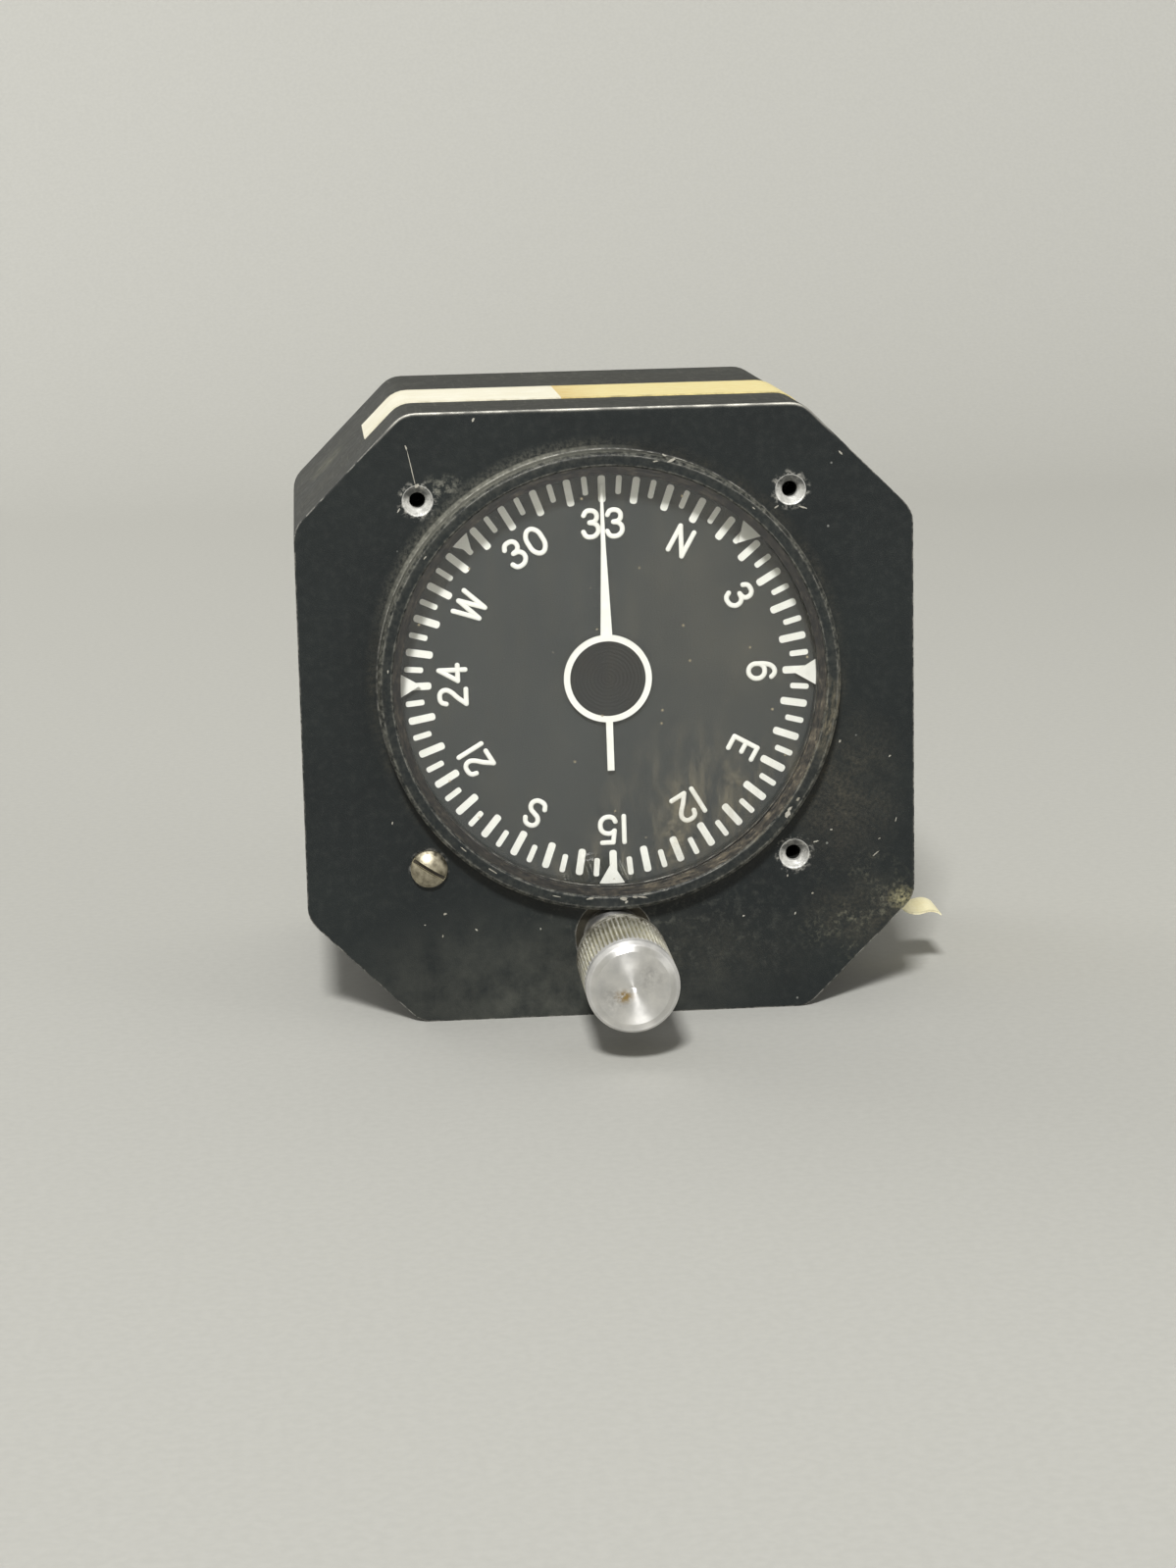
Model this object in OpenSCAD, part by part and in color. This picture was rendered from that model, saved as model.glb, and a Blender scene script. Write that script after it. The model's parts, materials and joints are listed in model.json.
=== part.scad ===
// Vertical-card directional gyro indicator for a standard 3 1/8 inch panel cut-out.
// The dial axis runs along Y, the face plane is Y = 0 and the case stands on its bottom flat.

/* [Case] */
// Width of the case across its side flats
case_w = 104.6; // [100:0.1:125]
// Height of the case from the bottom flat to the top flat
case_h = 104.6; // [100:0.1:125]
// Height of the dial axis above the middle of the case
dial_rise = 6.2; // [3:0.1:7]
// Length that each corner cut takes off a flat
corner_cut = 18.8; // [14:0.1:22]
// Radius of the eight small corners of the outline
corner_r = 5; // [3:0.1:7]
// Depth of the cast case behind the face
case_depth = 80; // [80:0.5:100]
// Thickness of the side walls
side_wall = 3; // [2:0.1:4]
// Thickness of the front wall
front_wall = 4; // [3.5:0.1:5]

/* [Panel mounting] */
// Distance between neighbouring mounting holes
hole_pitch = 62.865; // [60:0.005:66]
// Diameter of the tapped holes
hole_d = 2.7; // [2:0.1:4]
// Depth of the tapped holes
hole_depth = 12; // [8:0.5:16]
// Diameter of the bare metal countersink round each hole
hole_mouth_d = 5; // [4.2:0.1:6]
// Diameter of the bosses behind the holes
hole_boss_d = 9; // [7:0.1:10]
// Diameter of the screw head left in one hole
screw_head_d = 6.3; // [5:0.1:8]
// Height of that screw's domed head
screw_head_h = 2.3; // [1.6:0.1:3]
// Angle of the slot in that head
screw_slot_angle = -33; // [-90:1:90]

/* [Bezel ring and glass] */
// Outer diameter of the raised ring
ring_d = 78.4; // [76:0.1:79]
// Height of the raised ring above the face
ring_h = 4.2; // [3.6:0.1:6]
// Thickness of the ring outside the glass
ring_wall = 2.5; // [1.8:0.1:3]
// Width of the ledge behind the glass
ledge_w = 1.1; // [0.6:0.1:1.6]
// Thickness of the cover glass
glass_t = 2.2; // [1.5:0.1:2.4]
// Thickness of the glass gasket
gasket_t = 0.5; // [0.3:0.1:0.8]
// Thickness of the glass retaining ring
retainer_t = 0.8; // [0.5:0.1:1]
// Width of the glass retaining ring
retainer_w = 1.35; // [1:0.05:2]

/* [Dial] */
// How far the compass card reaches behind the ledge
card_lap = 1.6; // [1:0.1:1.9]
// Thickness of the compass card
card_t = 1; // [0.6:0.1:1.4]
// Distance from the face plane back to the card
card_y = 2.2; // [2:0.1:2.6]
// Heading under the pointer, in degrees
card_heading = 330; // [0:1:359]
// Small error of the card at rest, in degrees
card_error = 0.6; // [-2:0.1:2]
// Distance from the card's edge in to the tick marks
tick_inset = 2.6; // [1.8:0.1:4]
// Length of the ten degree ticks
long_tick = 4.6; // [3:0.1:6]
// Width of the ten degree ticks
long_tick_w = 1.25; // [0.8:0.05:1.6]
// Length of the five degree ticks
short_tick = 3.2; // [2:0.1:4]
// Width of the five degree ticks
short_tick_w = 0.95; // [0.6:0.05:1.3]
// Thickness of the raised tick marks
tick_t = 0.15; // [0.1:0.05:0.2]
// Base width of the fixed index triangles
index_w = 4.3; // [3:0.05:5]
// Height of the fixed index triangles
index_h = 3.6; // [2:0.1:4]

/* [Pointer] */
// Outer diameter of the pointer's ring
pointer_ring_d = 15; // [12:0.1:18]
// Width of the pointer ring's band
pointer_band = 1.05; // [0.8:0.05:1.5]
// Distance from the mask ring in to the pointer's tip
pointer_tip_inset = 2.6; // [1:0.1:6]
// Distance from the dial axis to the end of the tail
pointer_tail_r = 15.9; // [12:0.1:20]
// Width of the pointer at its ring
pointer_w = 2; // [1.5:0.1:3]
// Width of the tail
tail_w = 1.15; // [0.8:0.05:2]
// Thickness of the pointer
pointer_t = 0.5; // [0.3:0.05:0.6]
// Lean of the pointer to the left, in degrees
pointer_lean = 0.8; // [-2:0.1:2]

/* [Setting knob] */
// Distance of the knob axis below the dial axis
knob_drop = 44.7; // [44.7:0.1:46]
// Diameter of the knob head
knob_d = 15.4; // [12:0.1:18]
// Length of the knob head
knob_len = 21; // [15:0.1:25]
// Gap between the face and the knob head
knob_gap = 15; // [10:0.1:18]
// Diameter of the knob's neck
neck_d = 10.2; // [9:0.1:10.2]
// Number of knurl grooves
knurl_count = 60; // [24:1:72]
// Depth of the knurl grooves
knurl_depth = 0.35; // [0.2:0.05:0.5]
// Travel when the knob is pushed in to cage
push_travel = 5; // [3:0.1:5]
// Diameter of the setting shaft
shaft_d = 6; // [5:0.1:6]
// Tip diameter of the setting pinion
pinion_d = 12.4; // [11:0.1:12.4]
// Number of setting pinion teeth
pinion_teeth = 12; // [8:1:14]
// Width of the setting pinion
pinion_w = 5; // [3:0.1:5]

/* [Gear pair] */
// Number of teeth on each bevel gear
bevel_teeth = 48; // [36:1:60]
// Depth of the bevel teeth along the axis
bevel_w = 3.5; // [2.5:0.1:4]
// Height of the bevel teeth outside the pitch circle
tooth_out = 0.85; // [0.5:0.05:1]
// Depth of the bevel tooth gaps inside the pitch circle
tooth_in = 1.35; // [1.2:0.05:1.6]
// Number of slots in the setting crown
crown_slots = 40; // [24:1:48]

/* [Gimbals] */
// Radial thickness of the outer gimbal ring
outer_gimbal_t = 3.7; // [3.6:0.1:3.8]
// Width of the outer gimbal ring
outer_gimbal_w = 8; // [6:0.1:9]
// Radial thickness of the inner gimbal ring
inner_gimbal_t = 3.4; // [2.5:0.1:3.5]
// Width of the inner gimbal ring
inner_gimbal_w = 9; // [7:0.1:10]
// Radius of the gimbal trunnions
trunnion_r = 1.5; // [1.2:0.05:1.8]
// Radius of the tilt pivots
tilt_pivot_r = 1.2; // [1:0.05:1.4]

/* [Rotor] */
// Radius of the rotor
rotor_r = 19; // [15:0.1:19.3]
// Width of the rotor's rim
rotor_w = 13; // [10:0.1:13]
// Radial thickness of the rotor's rim
rotor_rim = 6; // [4:0.1:8]
// Number of buckets cut in the rim
bucket_count = 24; // [16:1:32]
// Radius of each bucket
bucket_r = 1.6; // [1:0.1:2]
// Radius of the rotor shaft
rotor_shaft_r = 1.3; // [1:0.05:1.5]

/* [Rear cover] */
// Thickness of the rear cover
cover_t = 4; // [3:0.1:6]
// Outer diameter of the vacuum port
port_d = 20; // [16:0.1:24]
// Diameter of the vacuum port bore
port_bore_d = 11.4; // [9:0.1:13]
// Length of the vacuum port behind the cover
port_len = 13.4; // [8:0.1:18]
// Outer diameter of the air inlet collar
inlet_d = 22; // [18:0.1:24]
// Length of the air inlet collar
inlet_len = 5.4; // [5:0.1:8]

/* [Labels] */
// Distance from the face back to the label strips
label_y = 20; // [5:0.5:40]
// Width of the label strips
label_w = 25; // [10:0.5:30]
// Thickness of the label strips
label_t = 0.2; // [0.1:0.05:0.3]
// Place of the joint between the paper and the gold strip
label_joint_x = -5.5; // [-20:0.5:20]

/* [Fits] */
// Radial clearance of the turning shafts
shaft_clear = 0.05; // [0.02:0.01:0.1]
// Clearance between parts that pass each other
free_gap = 0.3; // [0.3:0.05:0.5]

/* [Hidden] */
$fn = 96;

case_black = [0.14, 0.16, 0.17];
dark_metal = [0.22, 0.23, 0.24];
bare_metal = [0.78, 0.77, 0.74];
brass = [0.72, 0.6, 0.33];
steel = [0.6, 0.61, 0.63];
mark_white = [0.95, 0.95, 0.88];
card_black = [0.17, 0.19, 0.2];
clear_glass = [0.75, 0.8, 0.82, 0.35];
rubber_black = [0.08, 0.08, 0.08];
paper_cream = [0.94, 0.92, 0.82];
tape_gold = [0.85, 0.73, 0.42];
tape_pale = [0.93, 0.88, 0.68];

top_z = case_h / 2 - dial_rise;
bottom_z = -case_h / 2 - dial_rise;
side_x = case_w / 2;
knob_z = -knob_drop;
floor_z = bottom_z + side_wall;
roof_z = top_z - side_wall;
wall_in_x = side_x - side_wall;
// Overrun of cutting shapes
eps = 0.5;

// Stack of the bezel ring, front to back
retainer_sink = 0.3;
glass_play = 0.3;
glass_bore_d = ring_d - 2 * ring_wall;
ledge_d = glass_bore_d - 2 * ledge_w;
retainer_y = -ring_h + retainer_sink;
glass_y = retainer_y + retainer_t;
gasket_y = glass_y + glass_t;
ledge_y = gasket_y + gasket_t;
ledge_back_y = 1;
index_t = 0.3;
index_ring_t = 0.6;
ring_r = ring_d / 2;
glass_r = glass_bore_d / 2 - glass_play;
ledge_r = ledge_d / 2;
card_r = ledge_r + card_lap;
tick_outer_r = card_r - tick_inset;
pointer_tip_r = ledge_r - pointer_tip_inset;
card_bore_r = card_r + 1;
index_ring_r = ledge_r + 2;
card_back_y = card_y + card_t;

// Gimbal rings, each just clear of the one inside it
rotor_room = 1.6;
ring_room = 2.8;
gear_room = 2.5;
inner_gimbal_r = rotor_r + rotor_room + inner_gimbal_t;
inner_bore_r = inner_gimbal_r - inner_gimbal_t;
outer_gimbal_r = inner_gimbal_r + ring_room + outer_gimbal_t;
outer_bore_r = outer_gimbal_r - outer_gimbal_t;
pitch_r = outer_gimbal_r + gear_room;
gear_front_y = 11;
gimbal_y = gear_front_y + pitch_r;

// Card carrier and its fixed post
post_r = 3;
pointer_gap = 0.5;
pointer_y = card_y - pointer_gap - pointer_t;
pointer_back_y = pointer_y + pointer_t;
thrust_gap = 0.1;
hub_end_y = 8.6;
hub_r = 6;
hub_flange_r = 11;
hub_flange_t = 1.4;
carrier_r = pitch_r - 1.7;
carrier_wall = 2.4;
carrier_web_y = card_back_y + hub_flange_t;
carrier_web_t = 1.5;
gear_back_y = gear_front_y + bevel_w;
gear_hole_r = pitch_r - 7;

// Strap that carries the post, with a screw at each end
strap_y = gear_back_y + 0.7;
strap_t = 2.2;
strap_h = 14;
strap_back_y = strap_y + strap_t;
strap_pad_y = 9.3;
strap_pad_x = 19.2;
strap_screw_x = wall_in_x - 3.5;
strap_boss = 8;
small_screw_r = 1.2;
small_head_r = 2.4;
small_head_h = 1.6;
small_slot_w = 0.7;
small_slot_depth = 0.7;

// Gimbal heights
gear_low_z = -pitch_r;
gear_hub_t = 2;
crown_z = gear_low_z - gear_hub_t;
crown_tip_z = knob_z + pinion_d / 2 + free_gap;
crown_slot_depth = (crown_z - crown_tip_z) * 0.44;
crown_inner_r = pitch_r - 9;
crown_outer_r = pitch_r - 2;
gear_hub_len = 7.5;
hub_low_z = crown_z - gear_hub_len;
post_gap = 1.5;
post_top_z = hub_low_z - post_gap;
lower_post_r = 7;
post_bore_r = 2.4;
bearing_r = 5;
bearing_t = 2.8;
roof_boss_h = 6;
boss_wall = 2;
duct_z = floor_z + 6;
duct_r = 3.5;
duct_bore_r = 2;
duct_start_y = gimbal_y + bearing_r + free_gap;

// Rotor bearings in the inner gimbal
spin_bearing_r = 3.4;
spin_seat_r = inner_bore_r + 0.3;
cap_r = 4.2;
cap_seat_r = inner_gimbal_r - 0.6;
cap_top_r = inner_gimbal_r + 1;
tilt_bearing_r = tilt_pivot_r + 1.9;

// Stop pins of the tilt, which end its travel against the outer gimbal
tilt_limit = 55;
stop_r = 0.8;
stop_offset = (outer_gimbal_w / 2 + stop_r + free_gap) / cos(tilt_limit);
stop_start = sqrt(pow(inner_bore_r, 2) - pow(stop_offset - stop_r, 2)) + 0.5;
stop_end = outer_bore_r + 1.6;

// Places along the setting shaft, with the knob out
shaft_r = shaft_d / 2;
neck_r = neck_d / 2;
bushing_end_y = 7;
bushing_r = neck_r + shaft_clear + 1.5;
bush_boss_wall = 1.8;
neck_end_y = 2;
pinion_y = bushing_end_y + 0.5;
pinion_back_y = pinion_y + pinion_w;
pad_t = 1.9;
yoke_t = 2.5;
shaft_bracket_t = 4;
pad_end_y = gimbal_y - lower_post_r - push_travel - free_gap;
shaft_end_y = pad_end_y - pad_t;
yoke_y = shaft_end_y - yoke_t;
shaft_bracket_y = yoke_y - free_gap - shaft_bracket_t;
knob_base_y = -knob_gap;
knob_tip_y = knob_base_y - knob_len;
knob_r = knob_d / 2;
socket_depth = 8;
set_screw_back = 5;
set_screw_r = 1.1;
set_screw_sink = 0.8;

// Rear cover places
rear_gasket_t = 0.6;
cover_y = case_depth + rear_gasket_t;
cover_back_y = cover_y + cover_t;
cover_screw_inset = side_wall + 3;
cover_boss_r = 3.6;
cover_boss_len = 14;
cover_hole_len = 10;
cover_screw_len = 8;
cover_hole_r = small_screw_r + 0.1;
port_x = 22;
port_z = 20;
port_spigot_r = port_bore_d / 2 + 1.9;
inlet_z = floor_z + 12.5;
inlet_wall = 1.6;
screen_r = inlet_d / 2 - inlet_wall;
screen_y = cover_back_y + 2.6;
screen_t = 0.6;

// Lower end of the gold strip on the right wall, where the rounded corner begins
tape_low_z = bottom_z + corner_cut + corner_r * tan(22.5);

// Corners of the case outline, clockwise from the top right, drawn in by a given inset
function case_corners(inset) =
    let (half = case_w / 2 - inset)
    let (top = top_z - inset)
    let (low = bottom_z + inset)
    let (cut = corner_cut - inset * (2 - sqrt(2)))
    [
        [half - cut, top], [half, top - cut], [half, low + cut], [half - cut, low],
        [-half + cut, low], [-half, low + cut], [-half, top - cut], [-half + cut, top]
    ];

function unit(v) = v / norm(v);

// Outline with every corner turned into an arc
function rounded(corners, r, steps = 4) =
    let (n = len(corners))
    [
        for (i = [0 : n - 1])
            let (p = corners[i])
            let (before = unit(corners[(i + n - 1) % n] - p))
            let (after = unit(corners[(i + 1) % n] - p))
            let (half_turn = acos(before * after) / 2)
            let (centre = p + unit(before + after) * r / sin(half_turn))
            let (first = p + before * r / tan(half_turn) - centre)
            let (start = atan2(first[1], first[0]))
            for (k = [0 : steps])
                let (a = start - k * (180 - 2 * half_turn) / steps)
                centre + r * [cos(a), sin(a)]
    ];

module case_outline(inset) {
    polygon(rounded(case_corners(inset), max(corner_r - inset, 1)));
}

// Plate in the XZ plane between two depths
module plate_y(y0, y1) {
    translate([0, y1, 0]) rotate([90, 0, 0]) linear_extrude(height = y1 - y0) children();
}

// Rod along Y between two depths
module rod_y(y0, y1, r, x = 0, z = 0) {
    translate([x, y1, z]) rotate([90, 0, 0]) cylinder(h = y1 - y0, r = r);
}

// Tube along Y between two depths
module tube_y(y0, y1, outer, inner, x = 0, z = 0) {
    difference() {
        rod_y(y0, y1, outer, x, z);
        rod_y(y0 - eps, y1 + eps, inner, x, z);
    }
}

// Tube along Z between two heights
module tube_z(z0, z1, outer, inner) {
    difference() {
        translate([0, 0, z0]) cylinder(h = z1 - z0, r = outer);
        translate([0, 0, z0 - eps]) cylinder(h = z1 - z0 + 2 * eps, r = inner);
    }
}

// Revolved profile whose points are radius and depth
module turned_y() {
    rotate([-90, 0, 0]) rotate_extrude() children();
}

module at_holes() {
    for (sx = [-1, 1])
        for (sz = [-1, 1])
            translate([sx * hole_pitch / 2, 0, sz * hole_pitch / 2]) children();
}

module at_cover_screws() {
    for (p = case_corners(cover_screw_inset))
        translate([p[0], 0, p[1]]) children();
}

module at_strap_screws() {
    for (side = [-1, 1])
        translate([side * strap_screw_x, 0, 0]) children();
}

// Cast case with the raised ring, the mounting bosses and the open rear
module case_body() {
    ring_chamfer = 0.6;
    mouth_chamfer = 0.25;
    mouth_r = glass_bore_d / 2;
    hole_floor = 2;
    strap_hole_len = strap_t + 6.5;
    color(case_black) difference() {
        union() {
            difference() {
                plate_y(0, case_depth) case_outline(0);
                plate_y(front_wall, case_depth + eps) case_outline(side_wall);
            }
            turned_y() polygon([
                [ledge_r - 1, eps], [ring_r, eps], [ring_r, -ring_h + ring_chamfer],
                [ring_r - ring_chamfer, -ring_h], [ledge_r - 1, -ring_h]
            ]);
            at_holes() rod_y(eps, hole_depth + hole_floor, hole_boss_d / 2);
            rod_y(eps, bushing_end_y, bushing_r + bush_boss_wall, 0, knob_z);
            at_cover_screws() rod_y(case_depth - cover_boss_len, case_depth, cover_boss_r);
            for (side = [-1, 1])
                translate([side * (wall_in_x - strap_boss / 2 + 1), strap_back_y + strap_boss / 2, 0])
                    cube([strap_boss, strap_boss, strap_h + 2], center = true);
            translate([0, gimbal_y, roof_z - roof_boss_h])
                cylinder(h = roof_boss_h + eps, r = bearing_r + boss_wall);
        }
        rod_y(-ring_h - eps, ledge_y, mouth_r);
        turned_y() polygon([
            [0, -ring_h - eps], [mouth_r + mouth_chamfer + eps, -ring_h - eps],
            [mouth_r, -ring_h + mouth_chamfer], [0, -ring_h + mouth_chamfer]
        ]);
        rod_y(-ring_h - eps, front_wall + eps, ledge_r);
        rod_y(ledge_back_y, front_wall + eps, card_bore_r);
        at_holes() rod_y(-eps, hole_depth, hole_d / 2);
        at_holes() turned_y() polygon([
            [0, -eps], [hole_mouth_d / 2 + eps, -eps], [0, hole_mouth_d / 2]
        ]);
        rod_y(-eps, bushing_end_y + eps, bushing_r, 0, knob_z);
        at_cover_screws() rod_y(case_depth - cover_hole_len, case_depth + eps, small_screw_r);
        at_strap_screws() rod_y(strap_y, strap_y + strap_hole_len, small_screw_r);
        translate([0, gimbal_y, roof_z - roof_boss_h - eps])
            cylinder(h = bearing_t + 1.2 + eps, r = bearing_r);
    }
}

// Slotted brass screw left in the lower left mounting hole
module face_screw() {
    head_r = screw_head_d / 2;
    dome_rise = 0.5 * screw_head_h;
    dome_r = (head_r * head_r + dome_rise * dome_rise) / (2 * dome_rise);
    shank_len = 9;
    slot_w = 0.8;
    slot_depth = 0.55 * screw_head_h;
    color(brass) translate([-hole_pitch / 2, 0, -hole_pitch / 2]) difference() {
        union() {
            intersection() {
                translate([0, dome_r - screw_head_h, 0]) sphere(r = dome_r);
                rod_y(-screw_head_h - eps, 0, head_r);
            }
            rod_y(-eps / 2, shank_len, hole_d / 2);
        }
        rotate([0, -screw_slot_angle, 0]) translate([0, -screw_head_h, 0])
            cube([screw_head_d + 2, 2 * slot_depth, slot_w], center = true);
    }
}

// Thin ring that keeps the glass in its bore
module retaining_ring() {
    color(dark_metal) tube_y(retainer_y, glass_y, glass_bore_d / 2, glass_bore_d / 2 - retainer_w);
}

module cover_glass() {
    color(clear_glass) rod_y(glass_y, gasket_y, glass_r);
}

module glass_gasket() {
    color(rubber_black) tube_y(gasket_y, ledge_y, glass_r, ledge_r + 0.1);
}

// Fixed mask ring round the card
module index_ring() {
    front = ledge_back_y + index_t;
    color(card_black) tube_y(front, front + index_ring_t, index_ring_r, ledge_r);
}

// Fixed triangles that point at the card from the mask ring
module index_marks() {
    tab = 1.3;
    base_r = ledge_r - 0.1;
    half = index_w / 2;
    color(mark_white) for (a = [45, 90, 180, 270, 315])
        rotate([0, a, 0]) plate_y(ledge_back_y, ledge_back_y + index_t) polygon([
            [-half, ledge_r + tab], [half, ledge_r + tab],
            [half, base_r], [0, base_r - index_h], [-half, base_r]
        ]);
}

// Fixed pointer with its ring and its tail
module pointer() {
    ring_outer = pointer_ring_d / 2;
    foot_r = ring_outer - 0.4;
    knee_r = 22.6;
    knee_half = 0.4;
    tip_half = 0.2;
    color(mark_white) rotate([0, -pointer_lean, 0]) {
        tube_y(pointer_y, pointer_back_y, ring_outer, ring_outer - pointer_band);
        plate_y(pointer_y, pointer_back_y) polygon([
            [-pointer_w / 2, foot_r], [-knee_half, knee_r], [-tip_half, pointer_tip_r],
            [tip_half, pointer_tip_r], [knee_half, knee_r], [pointer_w / 2, foot_r]
        ]);
        plate_y(pointer_y, pointer_back_y) translate([-tail_w / 2, -pointer_tail_r])
            square([tail_w, pointer_tail_r - foot_r]);
    }
}

// Dark disc inside the pointer's ring
module pointer_hub() {
    color(card_black) rod_y(pointer_y + 0.1, pointer_back_y, pointer_ring_d / 2 - pointer_band);
}

// Fixed post that the card turns on and that carries the pointer
module card_post() {
    color(steel) rod_y(pointer_back_y, strap_pad_y + 2.8, post_r);
}

// Thrust washers before and behind the card's sleeve
module post_washers() {
    rear_r = post_r + 1.5;
    front_r = post_r + 1;
    color(brass) {
        tube_y(hub_end_y + thrust_gap, strap_pad_y, rear_r, post_r);
        tube_y(pointer_back_y, card_y - thrust_gap, front_r, post_r);
    }
}

// Bent strap behind the card gear that carries the post
module card_bracket() {
    leg_x = strap_pad_x - strap_t;
    leg_y = strap_pad_y + strap_t;
    color(steel) difference() {
        translate([0, 0, -strap_h / 2]) linear_extrude(height = strap_h) polygon([
            [-strap_pad_x, strap_pad_y], [strap_pad_x, strap_pad_y], [strap_pad_x, strap_y],
            [wall_in_x, strap_y], [wall_in_x, strap_back_y], [leg_x, strap_back_y], [leg_x, leg_y],
            [-leg_x, leg_y], [-leg_x, strap_back_y], [-wall_in_x, strap_back_y],
            [-wall_in_x, strap_y], [-strap_pad_x, strap_y]
        ]);
        rod_y(strap_pad_y - eps, leg_y + eps, post_r);
        at_strap_screws() rod_y(strap_y - eps, strap_back_y + eps, small_screw_r);
    }
}

module bracket_screws() {
    color(steel) at_strap_screws() difference() {
        union() {
            rod_y(strap_y - small_head_h, strap_y, small_head_r);
            rod_y(strap_y - eps, strap_back_y + 5, small_screw_r);
        }
        translate([0, strap_y - small_head_h, 0])
            cube([2 * small_head_r + 1, 2 * small_slot_depth, small_slot_w], center = true);
    }
}

// Bush that the knob's neck slides and turns in
module knob_bushing() {
    color(brass) tube_y(0, bushing_end_y, bushing_r, neck_r + shaft_clear, 0, knob_z);
}

// Bracket on the case floor that steadies the rear of the setting shaft
module shaft_bracket() {
    foot_w = 18;
    foot_t = 2;
    eye_r = shaft_r + 1.8;
    back = shaft_bracket_y + shaft_bracket_t;
    color(steel) difference() {
        union() {
            rod_y(shaft_bracket_y, back, eye_r, 0, knob_z);
            translate([-eye_r, shaft_bracket_y, floor_z])
                cube([2 * eye_r, shaft_bracket_t, knob_z - floor_z]);
            translate([-foot_w / 2, shaft_bracket_y, floor_z])
                cube([foot_w, shaft_bracket_t, foot_t]);
        }
        rod_y(shaft_bracket_y - eps, back + eps, shaft_r + shaft_clear, 0, knob_z);
    }
}

// Bearing in the roof boss
module upper_bearing() {
    low = roof_z - roof_boss_h;
    color(steel) translate([0, gimbal_y, 0])
        tube_z(low, low + bearing_t, bearing_r, trunnion_r + shaft_clear);
}

// Bearing in the floor post
module lower_bearing() {
    color(steel) translate([0, gimbal_y, 0])
        tube_z(post_top_z - bearing_t, post_top_z, bearing_r, trunnion_r + shaft_clear);
}

// Hollow post on the case floor that feeds air to the gimbal
module lower_post() {
    post_h = post_top_z - floor_z;
    color(bare_metal) difference() {
        translate([0, gimbal_y, floor_z]) cylinder(h = post_h, r = lower_post_r);
        translate([0, gimbal_y, post_top_z - bearing_t]) cylinder(h = bearing_t + eps, r = bearing_r);
        translate([0, gimbal_y, floor_z + 2]) cylinder(h = post_h, r = post_bore_r);
        rod_y(duct_start_y, gimbal_y + lower_post_r + eps, duct_r, 0, duct_z);
        rod_y(gimbal_y, duct_start_y + eps, duct_bore_r, 0, duct_z);
    }
}

// Tube from the air inlet to the floor post
module air_duct() {
    color(bare_metal) tube_y(duct_start_y, cover_y, duct_r, duct_bore_r, 0, duct_z);
}

module rear_gasket() {
    edge_inset = 0.6;
    color(rubber_black) difference() {
        plate_y(case_depth, cover_y) case_outline(edge_inset);
        plate_y(case_depth - eps, cover_y + eps) case_outline(side_wall);
        at_cover_screws() rod_y(case_depth - eps, cover_y + eps, cover_hole_r);
    }
}

// Flat rear cover, open for the vacuum port and the air duct
module rear_cover() {
    edge_inset = 0.4;
    color(case_black) difference() {
        plate_y(cover_y, cover_back_y) case_outline(edge_inset);
        rod_y(cover_y - eps, cover_back_y + eps, port_spigot_r, port_x, port_z);
        rod_y(cover_y - eps, cover_back_y + eps, duct_bore_r, 0, duct_z);
        at_cover_screws() rod_y(cover_y - eps, cover_back_y + eps, cover_hole_r);
    }
}

// Eight pan-head screws round the rear cover
module cover_screws() {
    head_r = 2.7;
    slot_w = 0.8;
    head_top = cover_back_y + small_head_h;
    color(steel) at_cover_screws() difference() {
        union() {
            rod_y(cover_back_y, head_top, head_r);
            rod_y(case_depth - cover_screw_len, cover_back_y + eps, small_screw_r);
        }
        translate([0, head_top, 0]) cube([2 * head_r + 1, 2 * small_slot_depth, slot_w], center = true);
    }
}

// Tapped bush for the vacuum line, with a spigot that fits in the cover
module vacuum_port() {
    rim_chamfer = 1;
    end_y = cover_back_y + port_len;
    outer = port_d / 2;
    bore = port_bore_d / 2;
    color(case_black) translate([port_x, 0, port_z]) turned_y() polygon([
        [bore, cover_y], [port_spigot_r, cover_y], [port_spigot_r, cover_back_y],
        [outer, cover_back_y], [outer, end_y - rim_chamfer], [outer - rim_chamfer, end_y],
        [bore, end_y]
    ]);
}

// Collar that holds the screen over the air inlet
module air_inlet() {
    color(case_black) tube_y(cover_back_y, cover_back_y + inlet_len, inlet_d / 2, screen_r, 0, inlet_z);
}

// Perforated disc over the air inlet
module inlet_screen() {
    hole_step = 2.4;
    hole_r = 0.8;
    reach = 3;
    color(steel) difference() {
        rod_y(screen_y, screen_y + screen_t, screen_r, 0, inlet_z);
        for (ix = [-reach : reach])
            for (iz = [-reach : reach])
                if (norm([ix, iz]) * hole_step < screen_r - 2)
                    rod_y(screen_y - eps, screen_y + screen_t + eps, hole_r,
                        ix * hole_step, inlet_z + iz * hole_step);
    }
}

module inlet_ring() {
    ring_t = 1;
    ring_w = 1.2;
    front = screen_y + screen_t;
    color(dark_metal) tube_y(front, front + ring_t, screen_r, screen_r - ring_w, 0, inlet_z);
}

// Skin that lies on the case wall inside a given region of the XZ plane
module wall_skin(y0, y1) {
    plate_y(y0, y1) intersection() {
        difference() {
            case_outline(-label_t);
            case_outline(0);
        }
        children();
    }
}

// Paper strip over the upper left corner
module paper_label() {
    drop = 5;
    reach = 4;
    corner_x = -side_x + corner_cut;
    color(paper_cream) wall_skin(label_y, label_y + label_w) polygon([
        [corner_x - drop, top_z - drop - 2], [corner_x - drop - reach, top_z - drop + 2],
        [corner_x - reach, top_z + reach], [label_joint_x, top_z + reach],
        [label_joint_x, top_z - reach], [corner_x + reach + 2, top_z - reach]
    ]);
}

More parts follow.
